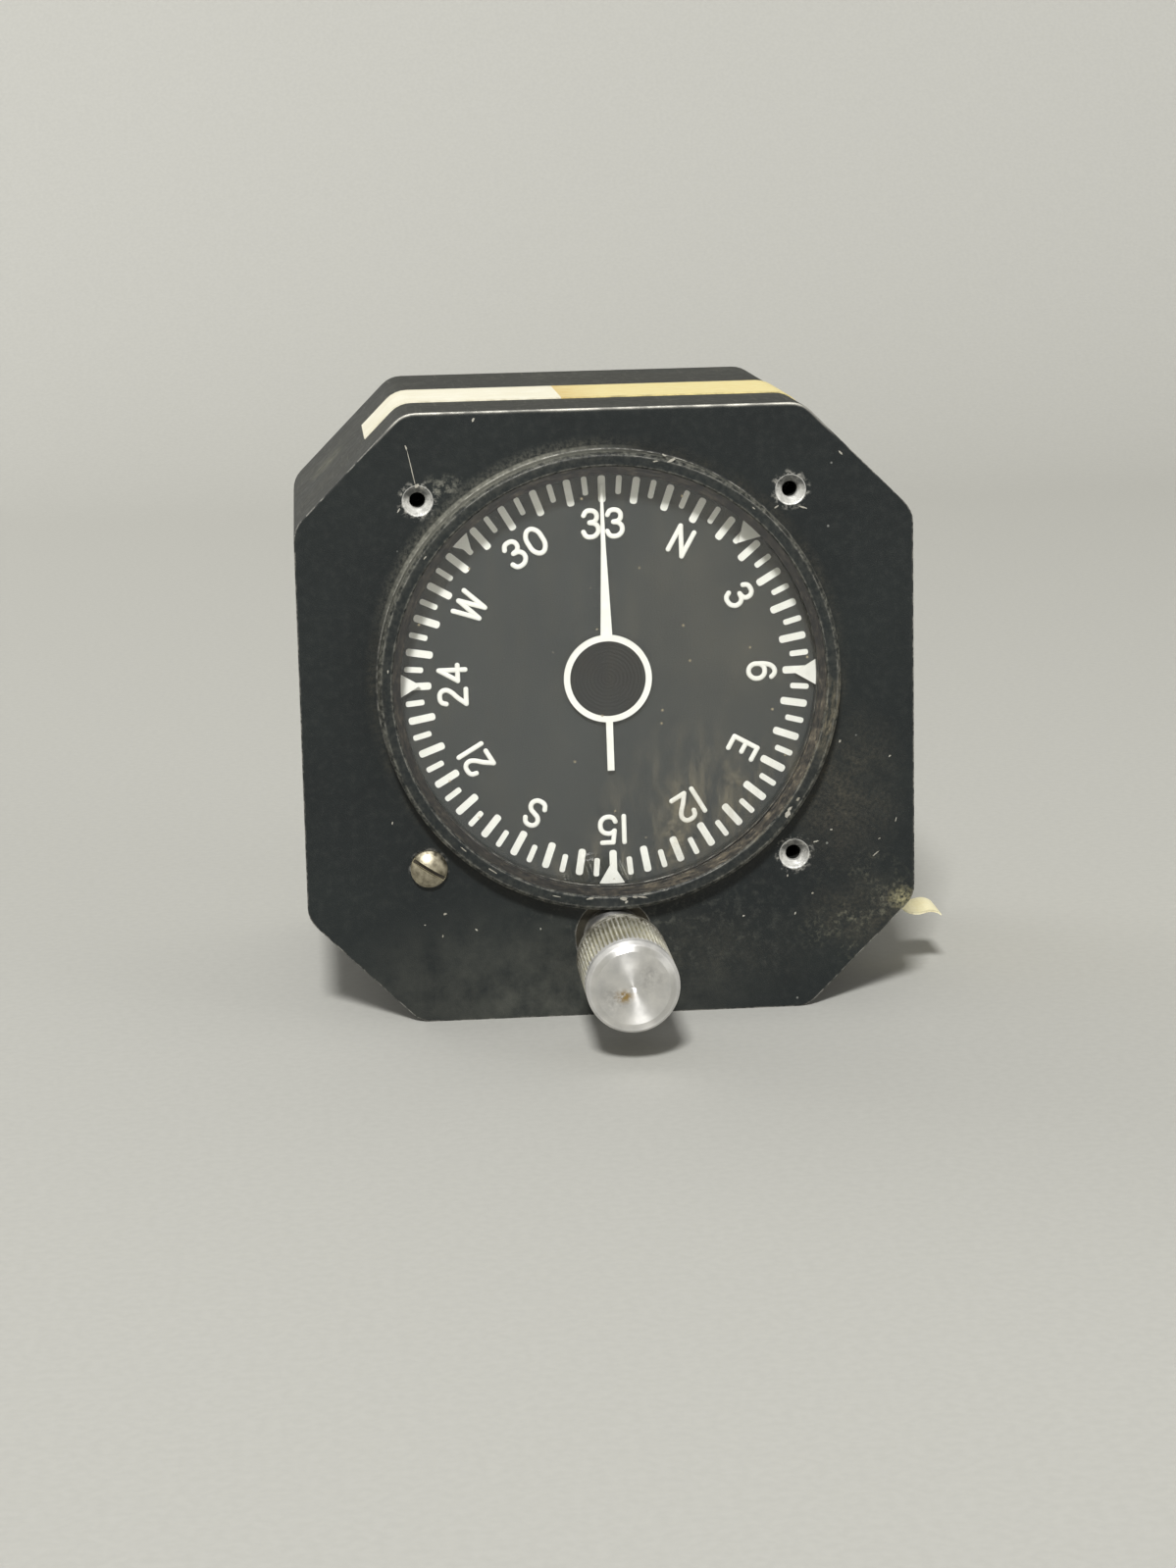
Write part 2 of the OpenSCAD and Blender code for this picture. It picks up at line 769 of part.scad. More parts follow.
// Gold strip from the joint over the upper right corner and down the right wall
module gold_tape() {
    reach = 4;
    color(tape_gold) wall_skin(label_y, label_y + label_w) union() {
        translate([label_joint_x, top_z - corner_cut - reach]) square([case_w, corner_cut + 2 * reach]);
        translate([side_x - reach, tape_low_z]) square([2 * reach, case_h - corner_cut]);
    }
}

// End of the gold strip that hangs off the wall, curls outwards and droops again at its lip
module loose_tape_end() {
    flap_w = 11;
    flap_drop = 6.3;
    curl_r = 4;
    curl_turn = 110;
    lip_r = 3;
    lip_turn = 60;
    steps = 8;
    curl_centre = [side_x + curl_r, tape_low_z - flap_drop];
    away = [cos(180 + curl_turn), sin(180 + curl_turn)];
    lip_centre = curl_centre + (curl_r + lip_r) * away;
    curl_turns = [for (k = [0 : steps]) 180 + k * curl_turn / steps];
    lip_turns = [for (k = [1 : steps]) curl_turn - k * lip_turn / steps];
    under = concat(
        [for (a = curl_turns) curl_centre + curl_r * [cos(a), sin(a)]],
        [for (a = lip_turns) lip_centre + lip_r * [cos(a), sin(a)]]
    );
    upper = concat(
        [for (a = curl_turns) curl_centre + (curl_r - label_t) * [cos(a), sin(a)]],
        [for (a = lip_turns) lip_centre + (lip_r + label_t) * [cos(a), sin(a)]]
    );
    upper_back = [for (k = [len(upper) - 1 : -1 : 0]) upper[k]];
    color(tape_pale) plate_y(label_y, label_y + flap_w)
        polygon(concat([[side_x, tape_low_z]], under, upper_back, [[side_x + label_t, tape_low_z]]));
}

// Disc that carries the compass scale
module compass_card() {
    color(card_black) tube_y(card_y, card_back_y, card_r, post_r + free_gap);
}

// Long ticks each ten degrees and short ticks between them
module card_ticks() {
    color(mark_white) for (a = [0 : 5 : 355]) {
        long = a % 10 == 0;
        w = long ? long_tick_w : short_tick_w;
        len = long ? long_tick : short_tick;
        rotate([0, a - card_heading - card_error, 0])
            translate([-w / 2, card_y - tick_t, tick_outer_r - len]) cube([w, tick_t, len]);
    }
}

// Sleeve and flange that run on the fixed post
module card_hub() {
    color(brass) difference() {
        union() {
            rod_y(card_back_y, hub_end_y, hub_r);
            rod_y(card_back_y, carrier_web_y, hub_flange_r);
        }
        rod_y(card_back_y - eps, hub_end_y + eps, post_r + shaft_clear);
    }
}

// Shallow cup between the card's flange and the card gear
module card_gear_carrier() {
    web_back = carrier_web_y + carrier_web_t;
    inner = carrier_r - carrier_wall;
    window_at = (hub_r + inner) / 2 + 2.5;
    window_r = 6;
    color(bare_metal) difference() {
        turned_y() polygon([
            [hub_r, carrier_web_y], [carrier_r, carrier_web_y], [carrier_r, gear_front_y],
            [inner, gear_front_y], [inner, web_back], [hub_r, web_back]
        ]);
        for (a = [0 : 60 : 300])
            rotate([0, a, 0]) rod_y(carrier_web_y - eps, web_back + eps, window_r, 0, window_at);
    }
}

// Outline of a bevel gear at its large end, with one tooth at the top when phase is 0
module bevel_outline(phase) {
    pitch = 360 / bevel_teeth;
    tip = pitch * 0.11;
    root = pitch * 0.24;
    polygon([
        for (i = [0 : bevel_teeth - 1])
            for (c = [[-root, -tooth_in], [-tip, tooth_out], [tip, tooth_out], [root, -tooth_in]])
                let (a = 90 + (i + phase) * pitch + c[0])
                (pitch_r + c[1]) * [cos(a), sin(a)]
    ]);
}

// Toothed ring whose teeth all run to the gimbal centre
module bevel_ring(phase) {
    difference() {
        linear_extrude(height = bevel_w, scale = (pitch_r - bevel_w) / pitch_r) bevel_outline(phase);
        translate([0, 0, -eps]) cylinder(h = bevel_w + 2 * eps, r = gear_hole_r);
    }
}

// Bevel gear that turns with the card
module card_gear() {
    color(brass) translate([0, gear_front_y, 0]) rotate([-90, 0, 0]) bevel_ring(0);
}

// Bevel gear that turns with the outer gimbal
module gimbal_gear() {
    color(brass) translate([0, gimbal_y, gear_low_z]) bevel_ring(0.5);
}

// Web and hub that join the gimbal gear to its trunnion
module gimbal_gear_hub() {
    web_top = crown_z + gear_hub_t;
    window_at = 15;
    window_r = 4.5;
    color(bare_metal) translate([0, gimbal_y, 0]) difference() {
        union() {
            translate([0, 0, crown_z]) cylinder(h = gear_hub_t, r = carrier_r);
            translate([0, 0, hub_low_z]) cylinder(h = gear_hub_len + eps, r = hub_r);
        }
        translate([0, 0, hub_low_z - eps]) cylinder(h = web_top - hub_low_z + 2 * eps, r = trunnion_r);
        for (a = [0 : 60 : 300])
            rotate([0, 0, a]) translate([window_at, 0, crown_z - eps])
                cylinder(h = gear_hub_t + 2 * eps, r = window_r);
    }
}

// Slotted ring under the gimbal gear that the setting pinion runs against
module setting_crown() {
    slot_w = 2.2;
    slot_len = crown_outer_r - crown_inner_r + 4;
    color(steel) translate([0, gimbal_y, 0]) difference() {
        tube_z(crown_tip_z, crown_z, crown_outer_r, crown_inner_r);
        for (i = [0 : crown_slots - 1])
            rotate([0, 0, i * 360 / crown_slots])
                translate([(crown_inner_r + crown_outer_r) / 2, 0, crown_tip_z])
                    cube([slot_len, slot_w, 2 * crown_slot_depth], center = true);
    }
}

// Upright ring that turns about the vertical trunnions
module outer_gimbal() {
    foot_r = 7;
    head_r = 4.5;
    head_rise = 2.5;
    color(bare_metal) translate([0, gimbal_y, 0]) difference() {
        union() {
            rod_y(-outer_gimbal_w / 2, outer_gimbal_w / 2, outer_gimbal_r);
            translate([0, 0, gear_low_z]) cylinder(h = pitch_r, r = foot_r);
            cylinder(h = outer_gimbal_r + head_rise, r = head_r);
        }
        rod_y(-outer_gimbal_r, outer_gimbal_r, outer_bore_r);
        rotate([0, 90, 0]) cylinder(h = 2 * outer_gimbal_r + 2, r = tilt_bearing_r, center = true);
        cylinder(h = 2 * pitch_r + 2, r = trunnion_r, center = true);
    }
}

module upper_trunnion() {
    low = outer_bore_r + 0.5;
    top = roof_z - roof_boss_h + bearing_t + 0.6;
    color(steel) translate([0, gimbal_y, low]) cylinder(h = top - low, r = trunnion_r);
}

module lower_trunnion() {
    low = post_top_z - bearing_t - 1.5;
    top = -outer_bore_r - 0.5;
    color(steel) translate([0, gimbal_y, low]) cylinder(h = top - low, r = trunnion_r);
}

// Bearings in the outer gimbal for the tilt pivots
module tilt_bearings() {
    inset = 0.4;
    color(steel) translate([0, gimbal_y, 0]) for (side = [0, 180])
        rotate([0, 90 + side, 0]) tube_z(outer_bore_r + inset, outer_bore_r + inset + bearing_t,
            tilt_bearing_r, tilt_pivot_r + shaft_clear);
}

// Block with two jets that blow on the rotor's buckets
module air_nozzle() {
    block = [12, 5, 4.2];
    block_z = -outer_bore_r - 1;
    jet_x = 4;
    jet_r = 1.1;
    jet_len = 4;
    jet_lean = 35;
    color(brass) translate([0, gimbal_y, 0]) difference() {
        union() {
            intersection() {
                translate([-block[0] / 2, -block[1] / 2, block_z]) cube(block);
                rod_y(-block[1], block[1], outer_bore_r);
            }
            for (side = [-1, 1])
                translate([side * jet_x, 0, block_z + 3]) rotate([0, side * jet_lean, 0])
                    cylinder(h = jet_len, r = jet_r);
        }
        translate([0, 0, block_z]) cylinder(h = 2.5, r = trunnion_r);
    }
}

// Balance nuts on the outer gimbal
module yaw_balance_nuts() {
    nut_r = 1.8;
    nut_hole_r = 0.7;
    nut_t = 2.4;
    nut_angle = 40;
    face = outer_gimbal_w / 2;
    color(steel) translate([0, gimbal_y, 0]) for (side = [-1, 1])
        rotate([0, side * nut_angle, 0])
            tube_y(face, face + nut_t, nut_r, nut_hole_r, 0, outer_gimbal_r - outer_gimbal_t / 2);
}

// Pins beside the two tilt pivots
module stop_pins() {
    for (side = [0, 180])
        rotate([0, 0, side]) translate([stop_start, stop_offset, 0]) rotate([0, 90, 0])
            cylinder(h = stop_end - stop_start, r = stop_r);
}

// Level ring that carries the rotor
module inner_gimbal() {
    seat_play = 0.1;
    color(dark_metal) translate([0, gimbal_y, 0]) difference() {
        tube_z(-inner_gimbal_w / 2, inner_gimbal_w / 2, inner_gimbal_r, inner_bore_r);
        rotate([0, 90, 0]) cylinder(h = 2 * inner_gimbal_r + 2, r = tilt_pivot_r, center = true);
        rod_y(-cap_top_r, cap_top_r, spin_bearing_r);
        for (side = [0, 180])
            rotate([0, 0, side]) rod_y(cap_seat_r, cap_top_r, cap_r + seat_play);
        stop_pins();
    }
}

// Pins that stop the inner gimbal at either end of its tilt
module tilt_stops() {
    color(steel) translate([0, gimbal_y, 0]) stop_pins();
}

module tilt_pivots() {
    start = inner_bore_r + 0.4;
    end = outer_gimbal_r - 0.8;
    color(steel) translate([0, gimbal_y, 0]) for (side = [0, 180])
        rotate([0, 90 + side, 0]) translate([0, 0, start]) cylinder(h = end - start, r = tilt_pivot_r);
}

module spin_bearings() {
    color(steel) translate([0, gimbal_y, 0]) for (side = [0, 180])
        rotate([0, 0, side]) tube_y(spin_seat_r, cap_seat_r, spin_bearing_r, rotor_shaft_r + shaft_clear);
}

// Caps over the spin bearings
module bearing_caps() {
    oil_hole_r = 1;
    oil_hole_len = 0.7;
    color(brass) translate([0, gimbal_y, 0]) for (side = [0, 180])
        rotate([0, 0, side]) difference() {
            rod_y(cap_seat_r, cap_top_r, cap_r);
            rod_y(cap_top_r - oil_hole_len, cap_top_r + eps, oil_hole_r);
        }
}

// Heavy rim, thin web and hub, with buckets cut round the rim
module rotor() {
    half = rotor_w / 2;
    web = 2.5;
    hub = 4;
    hub_end = half + 1.5;
    edge = 0.6;
    rim_in = rotor_r - rotor_rim;
    web_r = rim_in - 0.8;
    color(brass) translate([0, gimbal_y, 0]) difference() {
        turned_y() polygon([
            [rotor_shaft_r, -hub_end], [hub, -hub_end], [hub, -web], [web_r, -web],
            [rim_in, -half], [rotor_r - edge, -half], [rotor_r, -half + edge], [rotor_r, half - edge],
            [rotor_r - edge, half], [rim_in, half], [web_r, web], [hub, web],
            [hub, hub_end], [rotor_shaft_r, hub_end]
        ]);
        for (i = [0 : bucket_count - 1])
            rotate([0, i * 360 / bucket_count, 0])
                rod_y(-half / 2, half / 2, bucket_r, 0, rotor_r + 0.3);
    }
}

module rotor_shaft() {
    end = cap_seat_r - 0.3;
    color(steel) translate([0, gimbal_y, 0]) rod_y(-end, end, rotor_shaft_r);
}

// Collar on the setting shaft that slides along the case floor and does not turn
module caging_yoke() {
    arm_w = 4;
    foot_w = 8;
    foot_t = 1.5;
    collar_r = shaft_r + 2;
    foot_z = floor_z + free_gap;
    color(steel) difference() {
        union() {
            rod_y(yoke_y, shaft_end_y, collar_r, 0, knob_z);
            translate([-arm_w / 2, yoke_y, foot_z]) cube([arm_w, yoke_t, knob_z - foot_z - 1]);
            translate([-foot_w / 2, yoke_y, foot_z]) cube([foot_w, yoke_t, foot_t]);
        }
        rod_y(yoke_y - eps, shaft_end_y + eps, shaft_r + shaft_clear, 0, knob_z);
    }
}

// Brake pad that the yoke brings up to the lower post
module caging_pad() {
    color(rubber_black) tube_y(shaft_end_y, pad_end_y, shaft_r + 2, shaft_r + 0.4, 0, knob_z);
}

// Coil of flat wire that pushes the knob back out
module return_spring() {
    wire_w = 1;
    wire_t = 0.8;
    slices_per_turn = 18;
    steps = 4;
    free_len = shaft_bracket_y - pinion_back_y;
    turns = 0.65 * (free_len - push_travel) / wire_t;
    inner = shaft_r + 0.4;
    sector = 360 * turns * wire_t / free_len;
    color(steel) translate([0, shaft_bracket_y, knob_z]) rotate([90, 0, 0])
        linear_extrude(height = free_len, twist = -360 * turns, slices = round(turns * slices_per_turn),
            $fn = slices_per_turn) polygon([
            for (k = [0 : steps]) (inner + wire_w) * [cos(k * sector / steps), sin(k * sector / steps)],
            for (k = [steps : -1 : 0]) inner * [cos(k * sector / steps), sin(k * sector / steps)]
        ]);
}

// Turned metal knob with a straight knurl and a plain neck
module knob() {
    dish = 0.3;
    face_land = 1.6;
    tip_edge = 0.35;
    tip_chamfer = 1.1;
    base_chamfer = 0.8;
    plain_band = 2.8;
    groove = knurl_depth * 1.4;
    socket_y = knob_base_y - socket_depth;
    color(bare_metal) translate([0, 0, knob_z]) difference() {
        turned_y() polygon([
            [0, knob_tip_y + dish], [knob_r - face_land, knob_tip_y],
            [knob_r - 0.5, knob_tip_y + tip_edge], [knob_r, knob_tip_y + tip_chamfer],
            [knob_r, knob_base_y - base_chamfer], [knob_r - base_chamfer, knob_base_y],
            [neck_r, knob_base_y], [neck_r, neck_end_y], [shaft_r, neck_end_y],
            [shaft_r, socket_y], [0, socket_y]
        ]);
        for (i = [0 : knurl_count - 1])
            rotate([0, i * 360 / knurl_count, 0]) translate([0, (knob_tip_y + knob_base_y) / 2, knob_r])
                rotate([0, 45, 0]) cube([groove, knob_len - 2 * plain_band, groove], center = true);
        rotate([0, 90, 0]) translate([0, knob_base_y - set_screw_back, 0])
            cylinder(h = knob_r + 1, r = set_screw_r);
    }
}

module knob_set_screw() {
    slot_w = 0.5;
    slot_depth = 0.6;
    top = knob_r - set_screw_sink;
    color(steel) translate([0, knob_base_y - set_screw_back, knob_z]) rotate([0, 90, 0]) difference() {
        translate([0, 0, shaft_r]) cylinder(h = top - shaft_r, r = set_screw_r);
        translate([0, 0, top]) cube([3 * set_screw_r, slot_w, 2 * slot_depth], center = true);
    }
}

module setting_shaft() {
    color(steel) rod_y(knob_base_y - socket_depth, shaft_end_y, shaft_r, 0, knob_z);
}

// Small pinion that slides under the setting crown
module setting_pinion() {
    tooth_h = 1.4;
    gap_w = 1.6;
    tip_r = pinion_d / 2;
    color(brass) translate([0, 0, knob_z]) difference() {
        rod_y(pinion_y, pinion_back_y, tip_r);
        rod_y(pinion_y - eps, pinion_back_y + eps, shaft_r);
        for (i = [0 : pinion_teeth - 1])
            rotate([0, (i + 0.5) * 360 / pinion_teeth, 0])
                translate([0, (pinion_y + pinion_back_y) / 2, tip_r])
                    cube([gap_w, pinion_w + 2, 2 * tooth_h], center = true);
    }
}

case_body();
face_screw();
retaining_ring();
cover_glass();
glass_gasket();
index_ring();
index_marks();
pointer();
pointer_hub();
card_post();
post_washers();
card_bracket();
bracket_screws();
knob_bushing();
shaft_bracket();
upper_bearing();
lower_bearing();
lower_post();
air_duct();
rear_gasket();
rear_cover();
cover_screws();
vacuum_port();
air_inlet();
inlet_screen();
inlet_ring();
paper_label();
gold_tape();
loose_tape_end();
compass_card();
card_ticks();
card_hub();
card_gear_carrier();
card_gear();
outer_gimbal();
upper_trunnion();
lower_trunnion();
tilt_bearings();
gimbal_gear();
gimbal_gear_hub();
setting_crown();
air_nozzle();
yaw_balance_nuts();
inner_gimbal();
tilt_stops();
tilt_pivots();
spin_bearings();
bearing_caps();
rotor();
rotor_shaft();
caging_yoke();
caging_pad();
return_spring();
knob();
knob_set_screw();
setting_shaft();
setting_pinion();
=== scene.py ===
import json
import math
import random
import bmesh
import bpy
from mathutils import Matrix, Vector


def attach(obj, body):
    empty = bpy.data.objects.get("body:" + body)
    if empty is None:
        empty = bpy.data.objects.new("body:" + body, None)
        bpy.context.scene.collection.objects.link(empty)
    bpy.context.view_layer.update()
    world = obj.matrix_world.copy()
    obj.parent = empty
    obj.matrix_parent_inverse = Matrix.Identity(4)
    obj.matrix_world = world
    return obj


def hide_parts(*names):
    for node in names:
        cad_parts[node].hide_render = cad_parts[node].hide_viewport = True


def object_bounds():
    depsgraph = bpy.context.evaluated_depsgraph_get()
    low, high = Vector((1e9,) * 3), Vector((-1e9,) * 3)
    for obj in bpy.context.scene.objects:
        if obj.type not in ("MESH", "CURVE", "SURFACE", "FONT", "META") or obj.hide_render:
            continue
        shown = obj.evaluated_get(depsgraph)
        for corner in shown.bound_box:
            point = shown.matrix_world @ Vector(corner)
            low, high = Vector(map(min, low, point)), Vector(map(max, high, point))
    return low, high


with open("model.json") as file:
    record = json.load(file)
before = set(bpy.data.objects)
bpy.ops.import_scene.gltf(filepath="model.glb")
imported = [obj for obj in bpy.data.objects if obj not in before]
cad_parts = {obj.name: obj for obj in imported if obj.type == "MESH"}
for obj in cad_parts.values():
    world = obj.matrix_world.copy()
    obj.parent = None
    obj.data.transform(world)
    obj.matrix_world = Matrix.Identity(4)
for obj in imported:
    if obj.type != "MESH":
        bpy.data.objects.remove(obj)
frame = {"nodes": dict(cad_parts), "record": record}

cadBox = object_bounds()
scene = bpy.context.scene
mm = 0.001
ringPitch = 314  # millimetres between the rings of Blender's wave pattern at a scale of 1
random.seed(41)

# camera: the place and turn of the photograph's camera, in the frame of the instrument
cameraSet = {
    "at": (-49.47, -581.5, 97.77),
    "right": (0.99637, -0.08239, -0.02163),
    "down": (-0.03717, -0.19207, -0.98068),
    "forward": (0.07664, 0.97792, -0.19444),
    "lens": 80.06,
    "sensor": 36.0,
    "nearest": 0.01,
}
lens = bpy.data.cameras.new("viewCamera")
lens.lens = cameraSet["lens"]
lens.sensor_width = cameraSet["sensor"]
lens.clip_start = cameraSet["nearest"]
camera = bpy.data.objects.new("viewCamera", lens)
axes = [Vector(cameraSet["right"]), -Vector(cameraSet["down"]), -Vector(cameraSet["forward"])]
turn = Matrix([a.normalized() for a in axes]).transposed().to_4x4()
camera.matrix_world = Matrix.Translation(Vector(cameraSet["at"]) * mm) @ turn
scene.collection.objects.link(camera)
scene.camera = camera
scene.view_settings.view_transform = "Standard"
print("camera set")


# the linear colour of a hex text
def toLinear(hexText):
    parts = [int(hexText[i:i + 2], 16) / 255 for i in (1, 3, 5)]
    return [c / 12.92 if c <= 0.04045 else ((c + 0.055) / 1.055) ** 2.4 for c in parts] + [1.0]


# adds one shader node and gives one of its outputs; the inputs go by order or by name,
# where a socket is linked, a hex text is made a colour and anything else is set
def node(tree, kind, inputs=(), out=0, **settings):
    made = tree.nodes.new("ShaderNode" + kind)
    for key, value in settings.items():
        setattr(made, key, value)
    for key, value in inputs.items() if isinstance(inputs, dict) else enumerate(inputs):
        if isinstance(value, bpy.types.NodeSocket):
            tree.links.new(value, made.inputs[key])
        else:
            made.inputs[key].default_value = toLinear(value) if isinstance(value, str) else value
    return made.outputs[out]


# a material with what is the same all over it, and the place that its patterns read
def startMaterial(name, **surface):
    made = bpy.data.materials.new(name)
    made.use_nodes = True
    tree = made.node_tree
    shader = tree.nodes["Principled BSDF"]
    for key, value in surface.items():
        shader.inputs[key.replace("_", " ")].default_value = value
    return made, tree, shader, node(tree, "TexCoord", out="Object")


# links finished patterns to the shader's sockets
def feed(tree, shader, **patterns):
    for key, value in patterns.items():
        tree.links.new(value, shader.inputs[key.replace("_", " ")])


# what is left where every mask lets it through
def product(tree, first, *others, clamp=False):
    for other in others:
        first = node(tree, "Math", [first, other], operation="MULTIPLY", use_clamp=clamp)
    return first


# the strongest of the masks at each place
def strongest(tree, first, *others, clamp=False):
    for other in others:
        first = node(tree, "Math", [first, other], operation="MAXIMUM", use_clamp=clamp)
    return first


# a base with patterns added to it, each by its weight
def total(tree, base, *parts, clamp=False):
    for pattern, weight in parts:
        base = node(tree, "Math", [pattern, weight, base], operation="MULTIPLY_ADD", use_clamp=clamp)
    return base


# lays colours over the first one, each through its mask
def coats(tree, colour, *layers):
    for mask, hue in layers:
        colour = node(tree, "Mix", {0: mask, 6: colour, 7: hue}, out=2, data_type="RGBA")
    return colour


# raises the surface by patterns, each with its depth in millimetres and its strength
def relief(tree, shader, *layers, normal=None):
    for pattern, depthMm, strength in layers:
        inputs = {"Height": pattern, "Distance": depthMm * mm, "Strength": strength}
        if normal is not None:
            inputs["Normal"] = normal
        normal = node(tree, "Bump", inputs)
    feed(tree, shader, Normal=normal)


# irregular patches of a real size, which run from bottom to top
def mottle(tree, place, sizeMm, detail=3.0, low=0.35, high=0.65, rough=0.5, bottom=0.0, top=1.0):
    inputs = {"Vector": place, "Scale": 1000 / sizeMm, "Detail": detail, "Roughness": rough}
    return node(tree, "MapRange", [node(tree, "TexNoise", inputs, out="Fac"), low, high, bottom, top])


# soft spot round a point, with its reach along each axis in millimetres
def spot(tree, place, centre, reach):
    scale = [1 / (r * mm) for r in reach]
    moved = [-c * mm * s for c, s in zip(centre, scale)]
    local = node(tree, "Mapping", {"Vector": place, "Location": moved, "Scale": scale})
    return node(tree, "TexGradient", {"Vector": local}, out="Fac", gradient_type="SPHERICAL")


# fine specks, one to a cell of the spacing, in the given share of the cells
def specks(tree, place, spacingMm, edge, core, share=1.0):
    cells = node(tree, "TexVoronoi", {"Vector": place, "Scale": 1000 / spacingMm}).node.outputs
    speck = node(tree, "MapRange", [cells["Distance"], edge, core])
    drawn = node(tree, "SeparateColor", [cells["Color"]])
    return product(tree, speck, node(tree, "Math", [drawn, 1 - share], operation="GREATER_THAN"))


# distance from an axis along Y, in metres
def radiusFrom(tree, place, x, z):
    flat = node(tree, "Mapping", {"Vector": place, "Location": (-x * mm, 0, -z * mm), "Scale": (1, 0, 1)})
    return node(tree, "VectorMath", [flat], out="Value", operation="LENGTH")


# pattern place on a ring round the dial axis, drawn out along the ring
def alongRing(tree, place, fromAxis, ringRadius=37, drawnOut=4.0):
    parts = node(tree, "SeparateXYZ", [place]).node.outputs
    angle = node(tree, "Math", [parts["Z"], parts["X"]], operation="ARCTAN2")
    return node(tree, "CombineXYZ", {"X": fromAxis, "Z": product(tree, angle, ringRadius * mm / drawnOut)})


# runs from 0 at one distance in millimetres to 1 at another
def ramp(tree, distance, start, end):
    return node(tree, "MapRange", [distance, start * mm, end * mm])


# 1 between two distances in millimetres, with a soft border
def band(tree, distance, low, high, soft):
    return product(tree, ramp(tree, distance, low - soft, low), ramp(tree, distance, high + soft, high))


# 1 on edges that stick out, where handling rubs the finish away
def edgeWear(tree, widthMm, low, high):
    rounded = node(tree, "Bevel", {"Radius": widthMm * mm}, samples=8)
    flat = node(tree, "NewGeometry", out="Normal")
    same = node(tree, "VectorMath", [rounded, flat], out="Value", operation="DOT_PRODUCT")
    return node(tree, "MapRange", [same, 1 - low, 1 - high])


